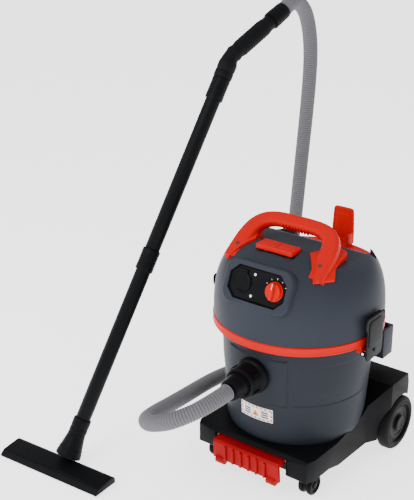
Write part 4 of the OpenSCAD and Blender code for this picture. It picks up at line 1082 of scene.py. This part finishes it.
neck = spun(rounded([
    (0.0165, -0.0960), (0.0310, -0.0960), (0.0306, -0.0880, 0.002), (0.0286, -0.0800), (0.0286, -0.0760),
    (0.0272, -0.0740), (0.0238, -0.0560), (0.0216, -0.0440, 0.003), (0.0215, -0.0380), (0.0208, -0.0372),
    (0.0208, -0.0350), (0.0215, -0.0342), (0.0215, -0.0250), (0.0208, -0.0242), (0.0208, -0.0220),
    (0.0215, -0.0212), (0.0215, -0.0022, 0.001), (0.0205, -0.0001), (0.0184, -0.0001), (0.0184, -0.0390),
    (0.0165, -0.0392), (0.0165, -0.0960)], 0.0010, 3), 72)
neck.transform(along_wand(0))
floor_cut = bmesh.new()
block(floor_cut, (-0.5, -0.6, -0.1), (-0.2, -0.2, 0.0040))
absorb(nozzle_mesh, joined(solid(neck, "neck"), [("DIFFERENCE", solid(floor_cut, "floor_cut"))]))
settle(nozzle_mesh, "floor_nozzle_body", black_plastic, "base", ["floor_nozzle"], 34, False)


# ---------------------------------------------------------------- inner and small parts
# What shows only when the hood lifts or from behind keeps its made shape and gets its own finish:
# zinc-plated pins and springs, the alloy turbine, copper windings, pleated filters, black covers.

zinc = Finish("zinc_plate", Metallic=1.0, IOR=1.5)
zinc_grain = zinc.noise(300.0, 5.0, 0.65)
zinc.drive("Base Color", zinc.blend(zinc_grain, (0.50, 0.51, 0.53), (0.68, 0.69, 0.70)))
zinc.drive("Roughness", zinc_grain * 0.22 + 0.22)
zinc.bump(zinc_grain, 0.00002)

alloy = Finish("die_cast_alloy", Metallic=0.9, IOR=1.5)
alloy_grain = alloy.noise(160.0, 6.0, 0.6)
alloy.drive("Base Color", alloy.blend(alloy_grain, (0.42, 0.43, 0.45), (0.58, 0.59, 0.61)))
alloy.drive("Roughness", alloy_grain * 0.20 + 0.40)
alloy.bump(alloy_grain, 0.00006)

windings = Finish("copper_windings", Metallic=0.85, IOR=1.5)
WIRE_PITCH = 0.0012
strand = abs((windings.axes()[2] % WIRE_PITCH) - WIRE_PITCH / 2) * 1600.0
copper_tint = windings.noise(60.0, 3.0)
windings.drive("Base Color", windings.blend(copper_tint, (0.42, 0.16, 0.06), (0.60, 0.27, 0.12)))
windings.drive("Roughness", strand * 0.15 + 0.28)
windings.bump(strand, 0.0003)

fleece = Finish("filter_fleece", IOR=1.4)
fibres = fleece.noise(900.0, 6.0, 0.7)
fleece_dust = fleece.noise(30.0, 4.0) * 0.7
fleece.drive("Base Color", fleece.blend(fleece_dust, (0.74, 0.72, 0.64), (0.62, 0.59, 0.50)))
fleece.drive("Roughness", fibres * 0.1 + 0.85)
fleece.bump(fibres, 0.0002)

circuit = plastic("circuit_board", (0.03, 0.12, 0.045), 0.00003, 0.34, 0.3, 600.0, 0.08)
float_white = plastic("float_white", (0.72, 0.71, 0.67), 0.00004, 0.42, 0.0, 900.0, 0.08)

FINISHES = {
    zinc: ("rear_axle", "axle_washers", "pedal_pin", "latch_pins", "bearings", "key_springs"),
    alloy: ("turbine_case", "motor_frame", "impeller"),
    windings: ("stator", "rotor"),
    fleece: ("filter_left", "filter_right"),
    circuit: ("control_board",),
    float_white: ("float",),
    tyre_rubber: ("inlet_seal", "head_gasket"),
    black_plastic: ("inlet_deflector", "head_base", "outlet_socket", "switch_block", "cord_gland",
                    "exhaust_grille", "float_cage", "brush_holders", "motor_hood"),
}
for finish, names in FINISHES.items():
    for name in names:
        nodes[name].data.materials.clear()
        nodes[name].data.materials.append(finish.material)
